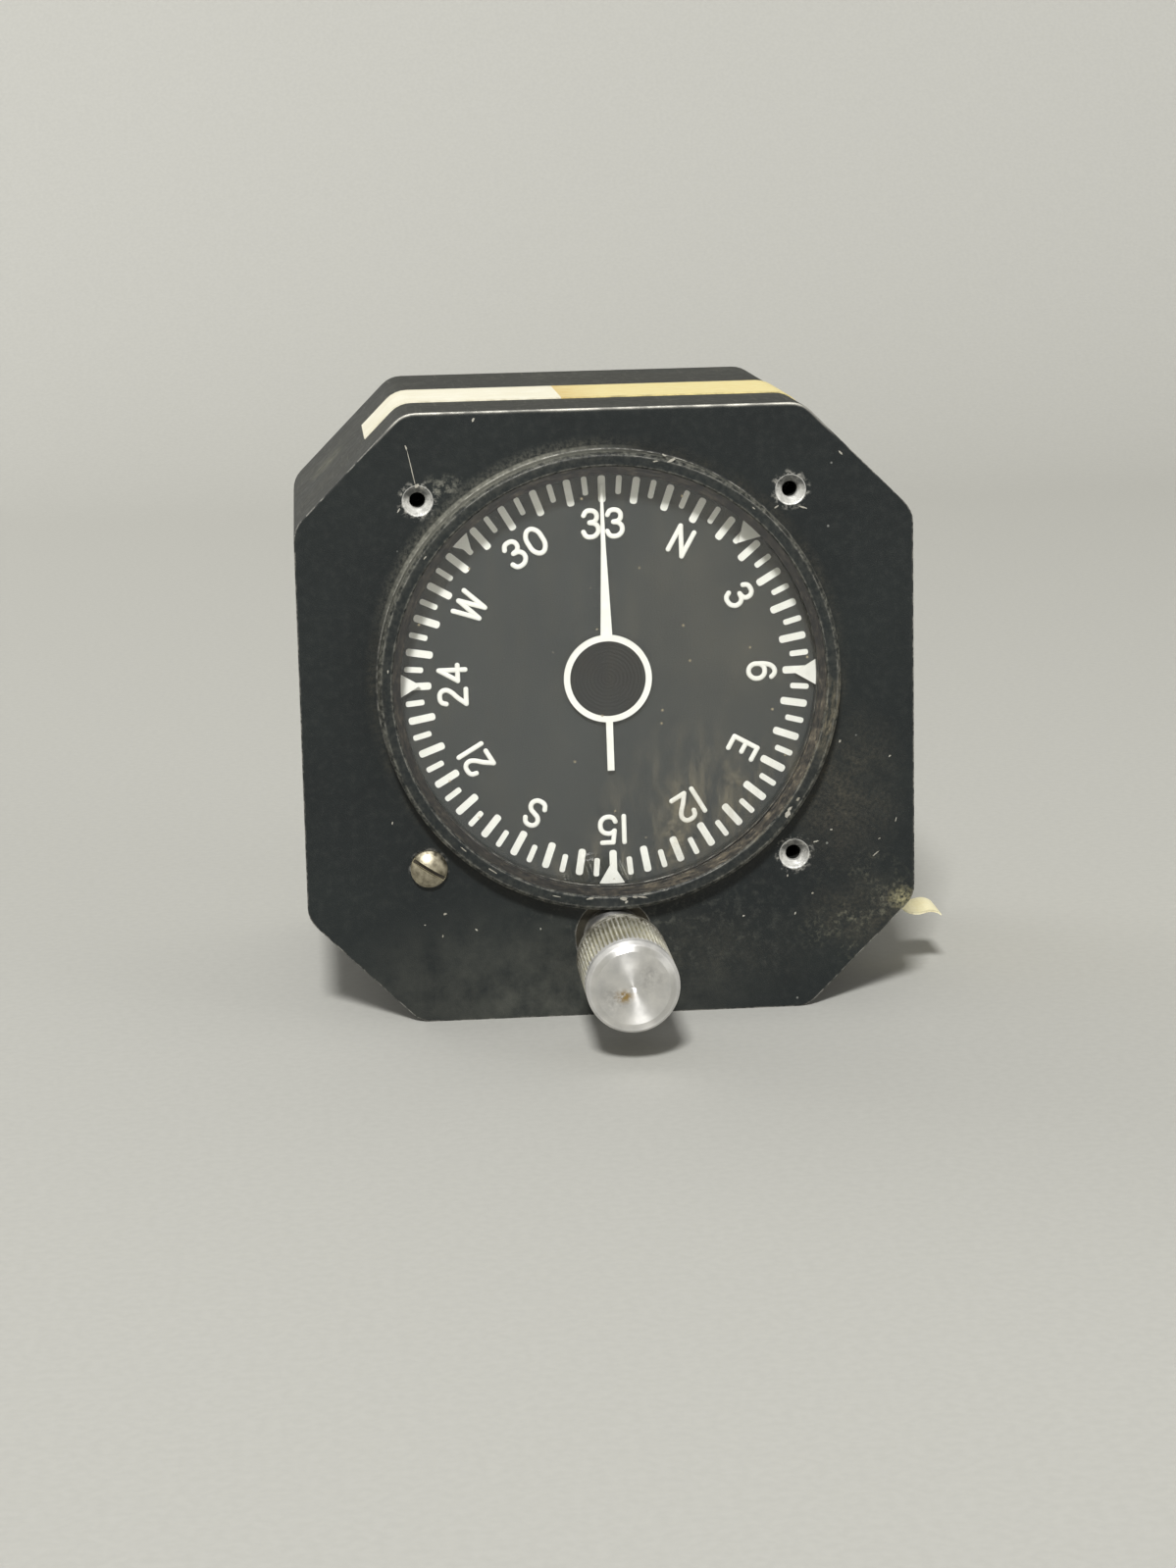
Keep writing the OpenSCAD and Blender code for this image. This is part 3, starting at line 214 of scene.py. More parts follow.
# case enamel, with its places in millimetres from the dial's centre and Y = 0 on the face
enamelSet = {
    "hues": {
        "black": "#121617", "faded": "#202524", "dust": "#45433a", "smear": "#7c7b66", "oil": "#17140d",
        "rubbed": "#78776c", "dirt": "#524d40", "stain": "#a7a079", "chalk": "#85836f", "packed": "#8a897d",
        "land": "#77766c", "ringDust": "#66665c", "tan": "#827964", "handled": "#6a6a60", "speck": "#8f9089",
        # the brightest bare metal goes in the countersinks, partly as a painted highlight on their
        # upward-facing side
        "bare": "#c9c6bc", "cut": "#f0efea",
    },
    "patterns": {
        "grain": {"sizeMm": 0.22, "detail": 2.0},
        "swell": {"sizeMm": 1.6},
        "cloud": {"sizeMm": 26.0, "detail": 5.0, "low": 0.3, "high": 0.7, "rough": 0.6},
        "blot": {"sizeMm": 5.5, "detail": 9.0, "low": 0.42, "high": 0.7, "rough": 0.75},
        "fleck": {"sizeMm": 0.7, "detail": 5.0, "low": 0.4, "high": 0.66, "rough": 0.7},
        "smear": {"sizeMm": 2.5, "detail": 5.0, "top": 0.7},
        "dragged": {"sizeMm": 0.8, "detail": 6.0, "low": 0.57, "high": 0.7, "rough": 0.7, "top": 0.28},
        "greyed": {"sizeMm": 16.0, "detail": 5.0, "low": 0.5, "high": 0.66, "rough": 0.62, "top": 0.36},
        "brokenUp": {"sizeMm": 1.3, "detail": 7.0, "low": 0.46, "high": 0.66, "rough": 0.74},
        "chalk": {"sizeMm": 1.1, "detail": 7.0, "low": 0.5, "high": 0.68, "rough": 0.75, "top": 0.9},
        "chalkArea": {"sizeMm": 6.0, "detail": 4.0, "low": 0.42, "high": 0.62},
        "packed": {"sizeMm": 0.8, "detail": 4.0, "bottom": 0.4, "top": 0.9},
        "scrape": {"sizeMm": 1.3, "detail": 6.0, "low": 0.48, "high": 0.62, "rough": 0.72, "top": 0.8},
        "land": {"sizeMm": 0.9, "detail": 6.0, "low": 0.43, "high": 0.64, "rough": 0.7},
        "tanStreak": {"sizeMm": 0.7, "detail": 7.0, "low": 0.42, "high": 0.62, "rough": 0.7, "top": 0.8},
        "tanGap": {"sizeMm": 2.4, "detail": 5.0, "low": 0.36, "high": 0.56, "rough": 0.65},
        "smudge": {"sizeMm": 1.6, "detail": 7.0, "low": 0.5, "high": 0.78, "rough": 0.72},
        "film": {"sizeMm": 5.5, "detail": 9.0, "low": 0.3, "high": 0.72, "rough": 0.66, "top": 0.46},
        "chips": {"sizeMm": 2.6, "detail": 6.0, "low": 0.46, "high": 0.58, "rough": 0.7, "bottom": 0.08,
                  "top": 0.78},
        "topEdge": {"sizeMm": 6.0, "detail": 4.0, "low": 0.42, "high": 0.58, "bottom": 0.4},
        "hole": {"sizeMm": 1.0, "detail": 4.0, "low": 0.42, "high": 0.6, "rough": 0.6, "bottom": 0.4},
        "ragged": {"sizeMm": 1.3, "detail": 5.0, "low": 0.5, "high": 0.62, "rough": 0.7, "top": 0.56},
    },
    # centre and reach
    "spots": {
        "smear": ((-46.2, 46, 33.4), (5.5, 9, 4.5)), "oilLeft": ((-2.3, 46.6, 46.1), (2.2, 3, 2)),
        "oilRight": ((4.3, 46.8, 46.1), (2, 2, 2)), "dirtRight": ((39, 0, -20), (13, 8, 17)),
        "dirtCorner": ((44, 0, -42), (13, 8, 8)), "dirtLow": ((12, 0, -48), (30, 8, 9)),
        "stain": ((50.2, 0, -39.9), (2.9, 8, 2.4)), "chalk": ((44, 0, -42), (14, 8, 12)),
        "packed": ((-24, 0, 32), (32, 8, 27)), "scrape": ((-27.2, 0, 33.6), (4.6, 8, 2.6)),
        "tanLow": ((30, -4, -20), (19, 20, 21)), "tanRight": ((37.5, -4, -7), (8, 20, 9)),
        "knob": ((6, 0, -44), (30, 20, 16)), "film": ((-12, 0, -55), (42, 20, 19)),
    },
    # inner radius, outer radius and soft border, round the axis of the dial or of a hole
    "bands": {
        "ringFoot": (39.3, 40.0, 1.6), "packed": (39.2, 39.75, 0.3), "loose": (39.3, 40.2, 1.8),
        "innerEdge": (36.6, 36.9, 0.3), "outerEdge": (38.6, 39.3, 0.3), "tan": (30, 36.7, 0.5),
        "countersink": (1.2, 2.55, 0.12), "scuff": (2.3, 2.75, 0.9),
    },
    # first and last value, and what they turn into where that isn't 0 and 1
    "ramps": {
        "wall": (0.3 * mm, 1.5 * mm), "dustUp": (-0.4, 0.7, 0.16, 0.42), "ledgeUp": (-0.1, 0.8),
        "topHeight": (40 * mm, 45.5 * mm), "topDepth": (1.6 * mm, 0.6 * mm),
        # the ramp for the holes brightens each countersink where its wall faces up: a painted highlight
        "topAcross": (-45 * mm, 30 * mm, 0.9, 1.5), "holeLitSide": (-0.35, 0.3, 0.12),
    },
    "hole": 31.4325, "ringTop": -0.2, "ringWall": 39.1, "holeFoot": 2.3, "scuffFoot": 0.4, "softEdge": 0.5,
}


# one of the enamel's own patterns, spots, bands or ramps, by name
def enamelPart(tree, source, part, name):
    values = enamelSet[part][name]
    if part == "patterns":
        return mottle(tree, source, **values)
    if part == "spots":
        return spot(tree, source, *values)
    if part == "bands":
        return band(tree, source, *values)
    return node(tree, "MapRange", [source, *values])


# what several layers of the enamel need
def enamelFields(tree, place):
    field = {name: enamelPart(tree, place, "patterns", name)
             for name in ("grain", "swell", "cloud", "blot", "fleck")}
    for name, axis in (("across", "X"), ("depth", "Y"), ("height", "Z")):
        field[name] = node(tree, "SeparateXYZ", [place], out=axis)
    field["up"] = node(tree, "SeparateXYZ", [node(tree, "NewGeometry", out="Normal")], out="Z")
    field["fromAxis"] = radiusFrom(tree, place, 0, 0)
    field["wall"] = enamelPart(tree, field["depth"], "ramps", "wall")
    field["onRing"] = node(tree, "Math", [field["depth"], enamelSet["ringTop"] * mm], operation="LESS_THAN")
    return field


# the walls behind the face: grey dust, most where they look up, a smear and two drops of oil at the back,
# and the scratches and grey patches of sliding in and out of panels
def wallLayers(tree, place, field):
    hues = enamelSet["hues"]
    upward = enamelPart(tree, field["up"], "ramps", "dustUp")
    dusty = product(tree, field["wall"], upward, total(tree, 0.35, (field["cloud"], 0.7)))
    smear = product(tree, enamelPart(tree, place, "spots", "smear"),
                    enamelPart(tree, place, "patterns", "smear"))
    oily = strongest(tree, enamelPart(tree, place, "spots", "oilLeft"),
                     enamelPart(tree, place, "spots", "oilRight"))
    oily = product(tree, oily, 1.2, clamp=True)
    lengthwise = node(tree, "Mapping", {"Vector": place, "Scale": (1, 0.06, 1)})
    dragged = enamelPart(tree, lengthwise, "patterns", "dragged")
    greyed = product(tree, enamelPart(tree, place, "patterns", "greyed"),
                     enamelPart(tree, place, "patterns", "brokenUp"))
    rubbed = product(tree, field["wall"], strongest(tree, dragged, greyed))
    return dusty, [(dusty, hues["dust"]), (smear, hues["smear"]), (oily, hues["oil"]),
                   (rubbed, hues["rubbed"])]


# fine brown-grey dirt on the right of the face, at the foot of the ring and at the torn tape,
# with a pale stain and chalky scuffs in it
def dirtLayers(tree, place, field):
    hues = enamelSet["hues"]
    weaker = strongest(tree, enamelPart(tree, place, "spots", "dirtLow"),
                       enamelPart(tree, field["fromAxis"], "bands", "ringFoot"))
    dirt = strongest(tree, enamelPart(tree, place, "spots", "dirtRight"),
                     enamelPart(tree, place, "spots", "dirtCorner"), product(tree, weaker, 0.4))
    dirt = product(tree, dirt, total(tree, 0.2, (field["blot"], 0.8)),
                   total(tree, 0.2, (field["fleck"], 1.2)), clamp=True)
    stain = product(tree, enamelPart(tree, place, "spots", "stain"), field["fleck"], 1.1, clamp=True)
    chalk = product(tree, enamelPart(tree, place, "patterns", "chalk"),
                    enamelPart(tree, place, "patterns", "chalkArea"),
                    enamelPart(tree, place, "spots", "chalk"))
    return dirt, [(product(tree, dirt, 0.8), hues["dirt"]), (stain, hues["stain"]), (chalk, hues["chalk"])]


# the raised ring: pale dust packed against its upper left and scuffs that lead off to the hole,
# a mottled land with rubbed edges, dust on its wall and tan dirt dried in streaks at the lower right
def ringLayers(tree, place, field):
    hues = enamelSet["hues"]
    fromAxis = field["fromAxis"]
    upperLeft = product(tree, enamelPart(tree, place, "spots", "packed"), 1.7, clamp=True)
    packed = product(tree, enamelPart(tree, fromAxis, "bands", "packed"),
                     enamelPart(tree, place, "patterns", "packed"))
    loose = product(tree, enamelPart(tree, fromAxis, "bands", "loose"), field["fleck"], 0.3)
    scrape = product(tree, enamelPart(tree, place, "spots", "scrape"),
                     enamelPart(tree, place, "patterns", "scrape"))
    lying = strongest(tree, product(tree, upperLeft, strongest(tree, packed, loose)), scrape)
    edges = strongest(tree, enamelPart(tree, fromAxis, "bands", "innerEdge"),
                      enamelPart(tree, fromAxis, "bands", "outerEdge"))
    land = product(tree, total(tree, 0.09, (edges, 0.55)), field["onRing"],
                   enamelPart(tree, place, "patterns", "land"))
    onWall = node(tree, "Math", [fromAxis, enamelSet["ringWall"] * mm], operation="GREATER_THAN")
    ledge = product(tree, field["onRing"], onWall, enamelPart(tree, field["up"], "ramps", "ledgeUp"),
                    total(tree, 0.2, (field["blot"], 0.4)))
    low = product(tree, enamelPart(tree, place, "spots", "tanLow"),
                  enamelPart(tree, fromAxis, "bands", "tan"))
    tan = strongest(tree, low, product(tree, enamelPart(tree, place, "spots", "tanRight"), 0.7))
    tan = product(tree, field["onRing"], tan, 1.7, clamp=True)
    tan = product(tree, tan, enamelPart(tree, alongRing(tree, place, fromAxis), "patterns", "tanStreak"),
                  enamelPart(tree, place, "patterns", "tanGap"))
    return [(lying, hues["packed"]), (land, hues["land"]), (ledge, hues["ringDust"]), (tan, hues["tan"])]


# handling: small pale smudges over the face, thickest round the knob, a film of dust at its foot,
# and fine specks
def handlingLayers(tree, place, field):
    hues = enamelSet["hues"]
    nearKnob = total(tree, 0.07, (enamelPart(tree, place, "spots", "knob"), 0.5))
    smudge = product(tree, enamelPart(tree, place, "patterns", "smudge"), nearKnob)
    film = product(tree, enamelPart(tree, place, "spots", "film"),
                   enamelPart(tree, place, "patterns", "film"))
    offRing = total(tree, 1.0, (field["onRing"], -1.0))
    handled = product(tree, strongest(tree, smudge, film), offRing)
    speck = product(tree, specks(tree, place, 5.5, edge=0.045, core=0.025, share=0.38), 0.55)
    return [(handled, hues["handled"]), (speck, hues["speck"])]


# bare metal: worn edges, most along the top one, the countersinks and the scuffs round them; the countersinks
# carry a painted highlight on their lower side, which faces up
def bareLayers(tree, place, field):
    hues = enamelSet["hues"]
    chipped = product(tree, edgeWear(tree, 0.55, low=0.02, high=0.22),
                      enamelPart(tree, place, "patterns", "chips"))
    topEdge = product(tree, enamelPart(tree, field["height"], "ramps", "topHeight"),
                      enamelPart(tree, field["depth"], "ramps", "topDepth"),
                      enamelPart(tree, field["across"], "ramps", "topAcross"),
                      enamelPart(tree, place, "patterns", "topEdge"),
                      edgeWear(tree, 1.0, low=0.005, high=0.12))
    # the four holes are alike, so one quarter of the face serves for all
    quarter = node(tree, "VectorMath", [place], operation="ABSOLUTE")
    fromHole = radiusFrom(tree, quarter, enamelSet["hole"], enamelSet["hole"])
    inHole = node(tree, "Math", [field["depth"], enamelSet["holeFoot"] * mm], operation="LESS_THAN")
    atFace = node(tree, "Math", [field["depth"], enamelSet["scuffFoot"] * mm], operation="LESS_THAN")
    # the countersinks are bare from real wear, and brightest where their wall faces up, which is a painted
    # highlight
    hole = product(tree, enamelPart(tree, fromHole, "bands", "countersink"), inHole,
                   enamelPart(tree, place, "patterns", "hole"),
                   enamelPart(tree, field["up"], "ramps", "holeLitSide"))
    scuffed = product(tree, enamelPart(tree, fromHole, "bands", "scuff"),
                      enamelPart(tree, place, "patterns", "ragged"), atFace)
    wear = strongest(tree, chipped, topEdge, hole, scuffed, clamp=True)
    return wear, [(wear, hues["bare"]), (hole, hues["cut"])]


# die-cast aluminium under stoving enamel: black with a faint grain, dusty behind and bare on its edges
def stovedEnamel():
    made, tree, shader, place = startMaterial("stovedBlackEnamel", IOR=1.5, Specular_IOR_Level=0.3)
    field = enamelFields(tree, place)
    faded = total(tree, 0.0, (field["grain"], 0.25), (field["cloud"], 0.5))
    dusty, walls = wallLayers(tree, place, field)
    dirt, soiled = dirtLayers(tree, place, field)
    wear, bare = bareLayers(tree, place, field)
    layers = [(faded, enamelSet["hues"]["faded"])] + walls + soiled + ringLayers(tree, place, field)
    layers += handlingLayers(tree, place, field) + bare
    rough = total(tree, 0.4, (field["swell"], 0.1), (field["wall"], 0.14), (dusty, 0.3), (dirt, 0.3),
                  clamp=True)
    feed(tree, shader, Base_Color=coats(tree, enamelSet["hues"]["black"], *layers),
         Metallic=product(tree, wear, 0.9), Roughness=rough)
    softEdge = node(tree, "Bevel", {"Radius": enamelSet["softEdge"] * mm}, samples=6)
    # bare metal lies lower than the enamel round it
    level = total(tree, field["grain"], (wear, -2.0))
    relief(tree, shader, (field["swell"], 0.012, 0.6), (level, 0.013, 0.8), normal=softEdge)
    return made


# sheet aluminium with matt instrument lacquer: a soft charcoal that shows dust
def mattLacquer():
    look = {"dark": "#252a29", "light": "#323634", "speck": "#8b8b80"}
    made, tree, shader, place = startMaterial("mattCharcoalLacquer", Roughness=0.85, IOR=1.45)
    cloud = mottle(tree, place, 18.0, detail=5.0, low=0.3, high=0.7, rough=0.6)
    grain = mottle(tree, place, 0.35, detail=2.0)
    lighter = total(tree, 0.0, (grain, 0.3), (cloud, 0.6))
    speck = product(tree, specks(tree, place, 4.0, edge=0.04, core=0.02), 0.3)
    feed(tree, shader, Base_Color=coats(tree, look["dark"], (lighter, look["light"]), (speck, look["speck"])))
    relief(tree, shader, (grain, 0.01, 0.5))
    return made


# turned disc under thin black lacquer: darker than the card, with faint tool rings
def turnedLacquer():
    look = {"dark": "#070809", "light": "#1c201f", "ringStep": 0.628}
    made, tree, shader, place = startMaterial("turnedBlackLacquer", IOR=1.5, Specular_IOR_Level=0.22)
    rings = {"Vector": place, "Scale": ringPitch / look["ringStep"], "Distortion": 1.2, "Detail": 3.0}
    rings = node(tree, "TexWave", rings, out="Fac", wave_type="RINGS", rings_direction="Y")
    cloud = mottle(tree, place, 4.0, detail=5.0)
    lighter = total(tree, 0.0, (rings, 0.45), (cloud, 0.5))
    feed(tree, shader, Base_Color=coats(tree, look["dark"], (lighter, look["light"])),
         Roughness=total(tree, 0.38, (cloud, 0.15)))
    relief(tree, shader, (rings, 0.012, 0.8))
    return made


# screen-printed instrument paint: warm white and matt, slightly uneven
def dialWhite():
    look = {"dull": "#f1f1e6", "bright": "#f7f7ed"}
    made, tree, shader, place = startMaterial("warmWhiteDialPaint", Roughness=0.7, IOR=1.45)
    patch = mottle(tree, place, 2.2, detail=4.0)
    feed(tree, shader, Base_Color=coats(tree, look["dull"], (patch, look["bright"])))
    relief(tree, shader, (mottle(tree, place, 0.3, detail=2.0), 0.006, 0.5))
    return made


# blackened aluminium ring: brown tarnish and tan dirt caught against the glass
def tarnishedRing():
    look = {"black": "#1b1b1a", "dirt": "#746a58", "pale": "#a59a85", "low": ((24, -4, -24), (33, 30, 31))}
    made, tree, shader, place = startMaterial("tarnishedBlackAluminium", IOR=1.5)
    drawn = alongRing(tree, place, radiusFrom(tree, place, 0, 0))
    blot = mottle(tree, place, 3.2, detail=6.0, low=0.42, high=0.62, rough=0.65, bottom=0.25)
    streak = mottle(tree, drawn, 0.6, detail=6.0, low=0.4, high=0.62, rough=0.68)
    reach = total(tree, 0.2, (spot(tree, place, *look["low"]), 1.4), clamp=True)
    dirt = product(tree, reach, streak, blot)
    pale = product(tree, mottle(tree, drawn, 0.45, detail=5.0, low=0.52, high=0.66, rough=0.7), dirt)
    feed(tree, shader, Base_Color=coats(tree, look["black"], (dirt, look["dirt"]), (pale, look["pale"])),
         Roughness=total(tree, 0.5, (dirt, 0.3)))
    relief(tree, shader, (streak, 0.04, 0.7))
    return made


# flat float glass: clear, with wiped smears, a dried run and dust, and a faint brown film over its right half
# that is a painted reflection
def coverPane():
    look = {
        "dust": "#b5a98c", "gloss": 0.03, "headOn": 0.034,
        "wiped": [((17, -3, -21), (22, 30, 15)), ((2, -3, -31), (18, 30, 6))],
        "run": ((10.5, -3, -25), (3.4, 30, 10)), "weakRun": ((21, -3, -17.5), (3, 30, 5)),
        "paintedReflection": ((19, -3, 12), (21, 30, 30)),
    }
    made, tree, shader, place = startMaterial("smearedFloatGlass")
    tree.nodes.remove(shader)
    strokes = node(tree, "Mapping", {"Vector": place, "Rotation": (0, 0.5, 0), "Scale": (1, 1, 0.28)})
    wiped = mottle(tree, strokes, 3.5, detail=6.0, low=0.5, high=0.85, rough=0.7)
    area = strongest(tree, *[spot(tree, place, *patch) for patch in look["wiped"]])
    # painted reflection: a faint brown film over the right half of the pane stands in for something reflected
    # there
    paintedReflection = product(tree, spot(tree, place, *look["paintedReflection"]),
                   mottle(tree, place, 16.0, detail=4.0, low=0.3, high=0.7))
    run = strongest(tree, spot(tree, place, *look["run"]),
                    product(tree, spot(tree, place, *look["weakRun"]), 0.7))
    run = product(tree, run, mottle(tree, place, 1.8, detail=7.0, low=0.44, high=0.66, rough=0.72))
    speck = specks(tree, place, 6.0, edge=0.05, core=0.03)
    film = total(tree, 0.004, (wiped, total(tree, 0.04, (area, 0.4))), (paintedReflection, 0.035), (run, 0.3),
                 (speck, 0.5), clamp=True)
    # the rays pass straight through, so the same reflectance is used on both faces
    facing = node(tree, "LayerWeight", {"Blend": 0.5}, out="Facing")
    edgeOn = node(tree, "Math", [facing, 5.0], operation="POWER")
    edgeOn = total(tree, look["headOn"], (edgeOn, 1 - look["headOn"]))
    clear = node(tree, "BsdfTransparent")
    shine = node(tree, "BsdfGlossy", {"Roughness": look["gloss"], "Color": (1, 1, 1, 1)})
    dust = node(tree, "BsdfDiffuse", {"Color": look["dust"]})
    pane = node(tree, "MixShader", [edgeOn, clear, shine])
    whole = node(tree, "MixShader", [film, pane, dust])
    tree.links.new(whole, tree.nodes["Material Output"].inputs["Surface"])
    return made


# turned bar aluminium, never painted: bright, with fine tool rings, olive grime in the knurl
# and a foot darkened by grime and painted shade
def turnedAluminium():
    look = {
        "axisZ": -44.7, "toolStep": 0.22,
        # where each runs from 0 to 1, in millimetres from the axis or along Y
        "side": (6.9, 7.2), "groove": (7.66, 7.42), "foot": (-27, -17), "knurl": (-33, -31),
        "hues": {"bright": "#e4e2de", "dull": "#c9c8c6", "smear": "#8f8d8c", "crust": "#8a7240",
                 "knurl": "#c2bd9c", "grime": "#827d60", "foot": "#3a3527"},
        "smears": [((2.6, -36.5, -43.2), (3.2, 6, 3.6)), ((-3.4, -36.5, -46.4), (3, 6, 3))],
        "crust": ((-1.6, -36.5, -46.1), (2.0, 6, 1.5)),
    }
    made, tree, shader, place = startMaterial("turnedBareAluminium", Metallic=1.0, Anisotropic=0.75,
                                              Anisotropic_Rotation=0.25)
    hues = look["hues"]
    local = node(tree, "Mapping", {"Vector": place, "Location": (0, 0, -look["axisZ"] * mm)})
    fromAxis = radiusFrom(tree, place, 0, look["axisZ"])
    depth = node(tree, "SeparateXYZ", [place], out="Y")
    side = ramp(tree, fromAxis, *look["side"])
    knurled = product(tree, side, ramp(tree, depth, *look["knurl"]))
    blot = mottle(tree, place, 2.0, detail=5.0, low=0.36, high=0.62, rough=0.65)
    patch = mottle(tree, place, 4.0, detail=5.0)
    # the tip is polished by fingers; a brown crust and two grey smears are left on it
    smear = product(tree, strongest(tree, *[spot(tree, place, *mark) for mark in look["smears"]]),
                    mottle(tree, place, 1.6, detail=6.0, low=0.35, high=0.62, rough=0.7, top=0.8))
    crust = product(tree, spot(tree, place, *look["crust"]),
                    mottle(tree, place, 0.8, detail=4.0, low=0.38, high=0.55, rough=0.7))
    greyed = product(tree, knurled, total(tree, 0.25, (blot, 0.35)))
    packed = product(tree, knurled, ramp(tree, fromAxis, *look["groove"]), total(tree, 0.6, (blot, 0.5)),
                     clamp=True)
    # the foot next to the face is darkened: grime with painted shade where the knob meets the face
    foot = product(tree, side, ramp(tree, depth, *look["foot"]), total(tree, 0.25, (blot, 0.9)), clamp=True)
    dull = strongest(tree, packed, foot, crust, product(tree, side, 0.3), clamp=True)
    colour = coats(tree, hues["dull"], (patch, hues["bright"]), (smear, hues["smear"]),
                   (product(tree, crust, 1.5, clamp=True), hues["crust"]), (greyed, hues["knurl"]),
                   (packed, hues["grime"]), (foot, hues["foot"]))
    # the turning marks run round the axis, so their shine fans out from the centre,
    # however far the knob is turned
    around = node(tree, "VectorMath", [local, (0, 1, 0)], operation="CROSS_PRODUCT")
    around = node(tree, "VectorTransform", [around], vector_type="VECTOR", convert_from="OBJECT",
                  convert_to="WORLD")
    feed(tree, shader, Base_Color=colour, Metallic=total(tree, 1.0, (dull, -0.8)),
         Roughness=total(tree, 0.3, (patch, 0.1), (dull, 0.4)),
         Tangent=node(tree, "VectorMath", [around], operation="NORMALIZE"))
    rings = {"Vector": local, "Scale": ringPitch / look["toolStep"], "Distortion": 0.6, "Detail": 2.0}
    rings = node(tree, "TexWave", rings, out="Fac", wave_type="RINGS", rings_direction="Y")
    relief(tree, shader, (rings, 0.004, 0.6), (mottle(tree, place, 0.5), 0.005, 0.5))
    return made


# free-cutting brass gone dull: grey-yellow, bright only on the rubbed edges, black in the screw's slot and
# dark at the head's foot, from dirt and painted shade
def dullBrass():
    look = {
        "screw": 31.4325, "turn": 33,
        # where each runs from 0 to 1, in millimetres from the slot's middle or along Y
        "slotHalf": (0.46, 0.38), "slotDepth": (-2.1, -1.0), "foot": (-1.1, -0.2),
        "dull": "#857e6d", "clean": "#bcb49e", "dirt": "#2b2417", "worn": "#d8cda6",
    }
    made, tree, shader, place = startMaterial("dulledBrass", Metallic=1.0)
    patch = mottle(tree, place, 1.1, detail=5.0, rough=0.65)
    # the screw's own axes, with Z square to the slot
    centred = (look["screw"] * mm, 0, look["screw"] * mm)
    centred = node(tree, "VectorMath", [place, centred], operation="ADD")
    turned = node(tree, "VectorRotate", {"Vector": centred, "Angle": math.radians(-look["turn"])},
                  rotation_type="Y_AXIS")
    parts = node(tree, "SeparateXYZ", [turned]).node.outputs
    fromSlot = node(tree, "Math", [parts["Z"]], operation="ABSOLUTE")
    # the slot and the foot of the head are darkened: dirt with painted shade in the recess and where the head
    # meets the face
    slot = product(tree, ramp(tree, fromSlot, *look["slotHalf"]), ramp(tree, parts["Y"], *look["slotDepth"]))
    foot = product(tree, ramp(tree, parts["Y"], *look["foot"]), 0.75)
    dirt = strongest(tree, slot, foot, clamp=True)
    worn = product(tree, edgeWear(tree, 0.25, low=0.02, high=0.25), 0.7)
    colour = coats(tree, look["dull"], (patch, look["clean"]), (dirt, look["dirt"]), (worn, look["worn"]))
    feed(tree, shader, Base_Color=colour, Metallic=total(tree, 1.0, (dirt, -1.0)),
         Roughness=total(tree, 0.32, (patch, 0.2)))
    relief(tree, shader, (patch, 0.02, 0.5))
    return made


# 1 along the two cut edges of the label strips
def stripBorder(tree, place, front=(21.5, 20), rear=(43.5, 45)):
    depth = node(tree, "SeparateXYZ", [place], out="Y")
    return strongest(tree, ramp(tree, depth, *front), ramp(tree, depth, *rear))


# aged label paper: cream, a little fibrous, grey along its cut edges
def agedPaper():
    look = {"cream": "#f8f4e0", "yellowed": "#eee7cd", "stain": "#b9b08f"}
    made, tree, shader, place = startMaterial("agedCreamPaper", Roughness=0.8, IOR=1.45)
    cloud = mottle(tree, place, 7.0, detail=5.0, low=0.3, high=0.7, rough=0.6)
    stain = product(tree, stripBorder(tree, place),
                    mottle(tree, place, 2.0, detail=5.0, low=0.4, high=0.7, top=0.6))
    colour = coats(tree, look["cream"], (cloud, look["yellowed"]), (stain, look["stain"]))
    feed(tree, shader, Base_Color=colour)
    relief(tree, shader, (mottle(tree, place, 0.5, detail=4.0), 0.012, 0.5))
    return made


# aged adhesive tape: slightly shiny, browner where it is lapped, dirty along its cut edges
def agedTape(name, base, deep):
    look = {"stain": "#8c7f5b", "lap": (2, -7)}
    made, tree, shader, place = startMaterial(name, IOR=1.48)
    stretched = node(tree, "Mapping", {"Vector": place, "Scale": (0.5, 1, 0.5)})
    streak = mottle(tree, stretched, 1.2, detail=5.0, rough=0.65)
    across = node(tree, "SeparateXYZ", [place], out="X")
    browner = total(tree, 0.0, (streak, 0.24), (ramp(tree, across, *look["lap"]), 0.5), clamp=True)
    stain = product(tree, stripBorder(tree, place),
                    mottle(tree, place, 2.4, detail=6.0, low=0.4, high=0.66, rough=0.7, top=0.65))
    feed(tree, shader, Base_Color=coats(tree, base, (browner, deep), (stain, look["stain"])),
         Roughness=total(tree, 0.4, (streak, 0.2)))
    relief(tree, shader, (streak, 0.012, 0.5))
    return made


# machined metal of the inner parts: turning marks and a thin film of old oil
def machined(name, base, dark, metallic, rough):
    look = {"worn": "#e2e0d8"}
    made, tree, shader, place = startMaterial(name, Metallic=metallic)
    patch = mottle(tree, place, 3.0, detail=5.0, rough=0.6)
    worn = product(tree, edgeWear(tree, 0.3, low=0.02, high=0.3), 0.35)
    feed(tree, shader, Base_Color=coats(tree, base, (patch, dark), (worn, look["worn"])),
         Roughness=total(tree, rough, (patch, 0.18)))
    fine = node(tree, "Mapping", {"Vector": place, "Scale": (1, 0.1, 1)})
    relief(tree, shader, (mottle(tree, fine, 0.25, detail=2.0), 0.008, 0.5))
    return made


# moulded rubber: near black, bloomed grey
def bloomedRubber():
    look = {"black": "#191918", "bloom": "#34332f"}
    made, tree, shader, place = startMaterial("bloomedRubber", Roughness=0.8, IOR=1.5)
    bloom = mottle(tree, place, 1.5, detail=5.0)
    feed(tree, shader, Base_Color=coats(tree, look["black"], (bloom, look["bloom"])))
    relief(tree, shader, (bloom, 0.02, 0.5))
    return made


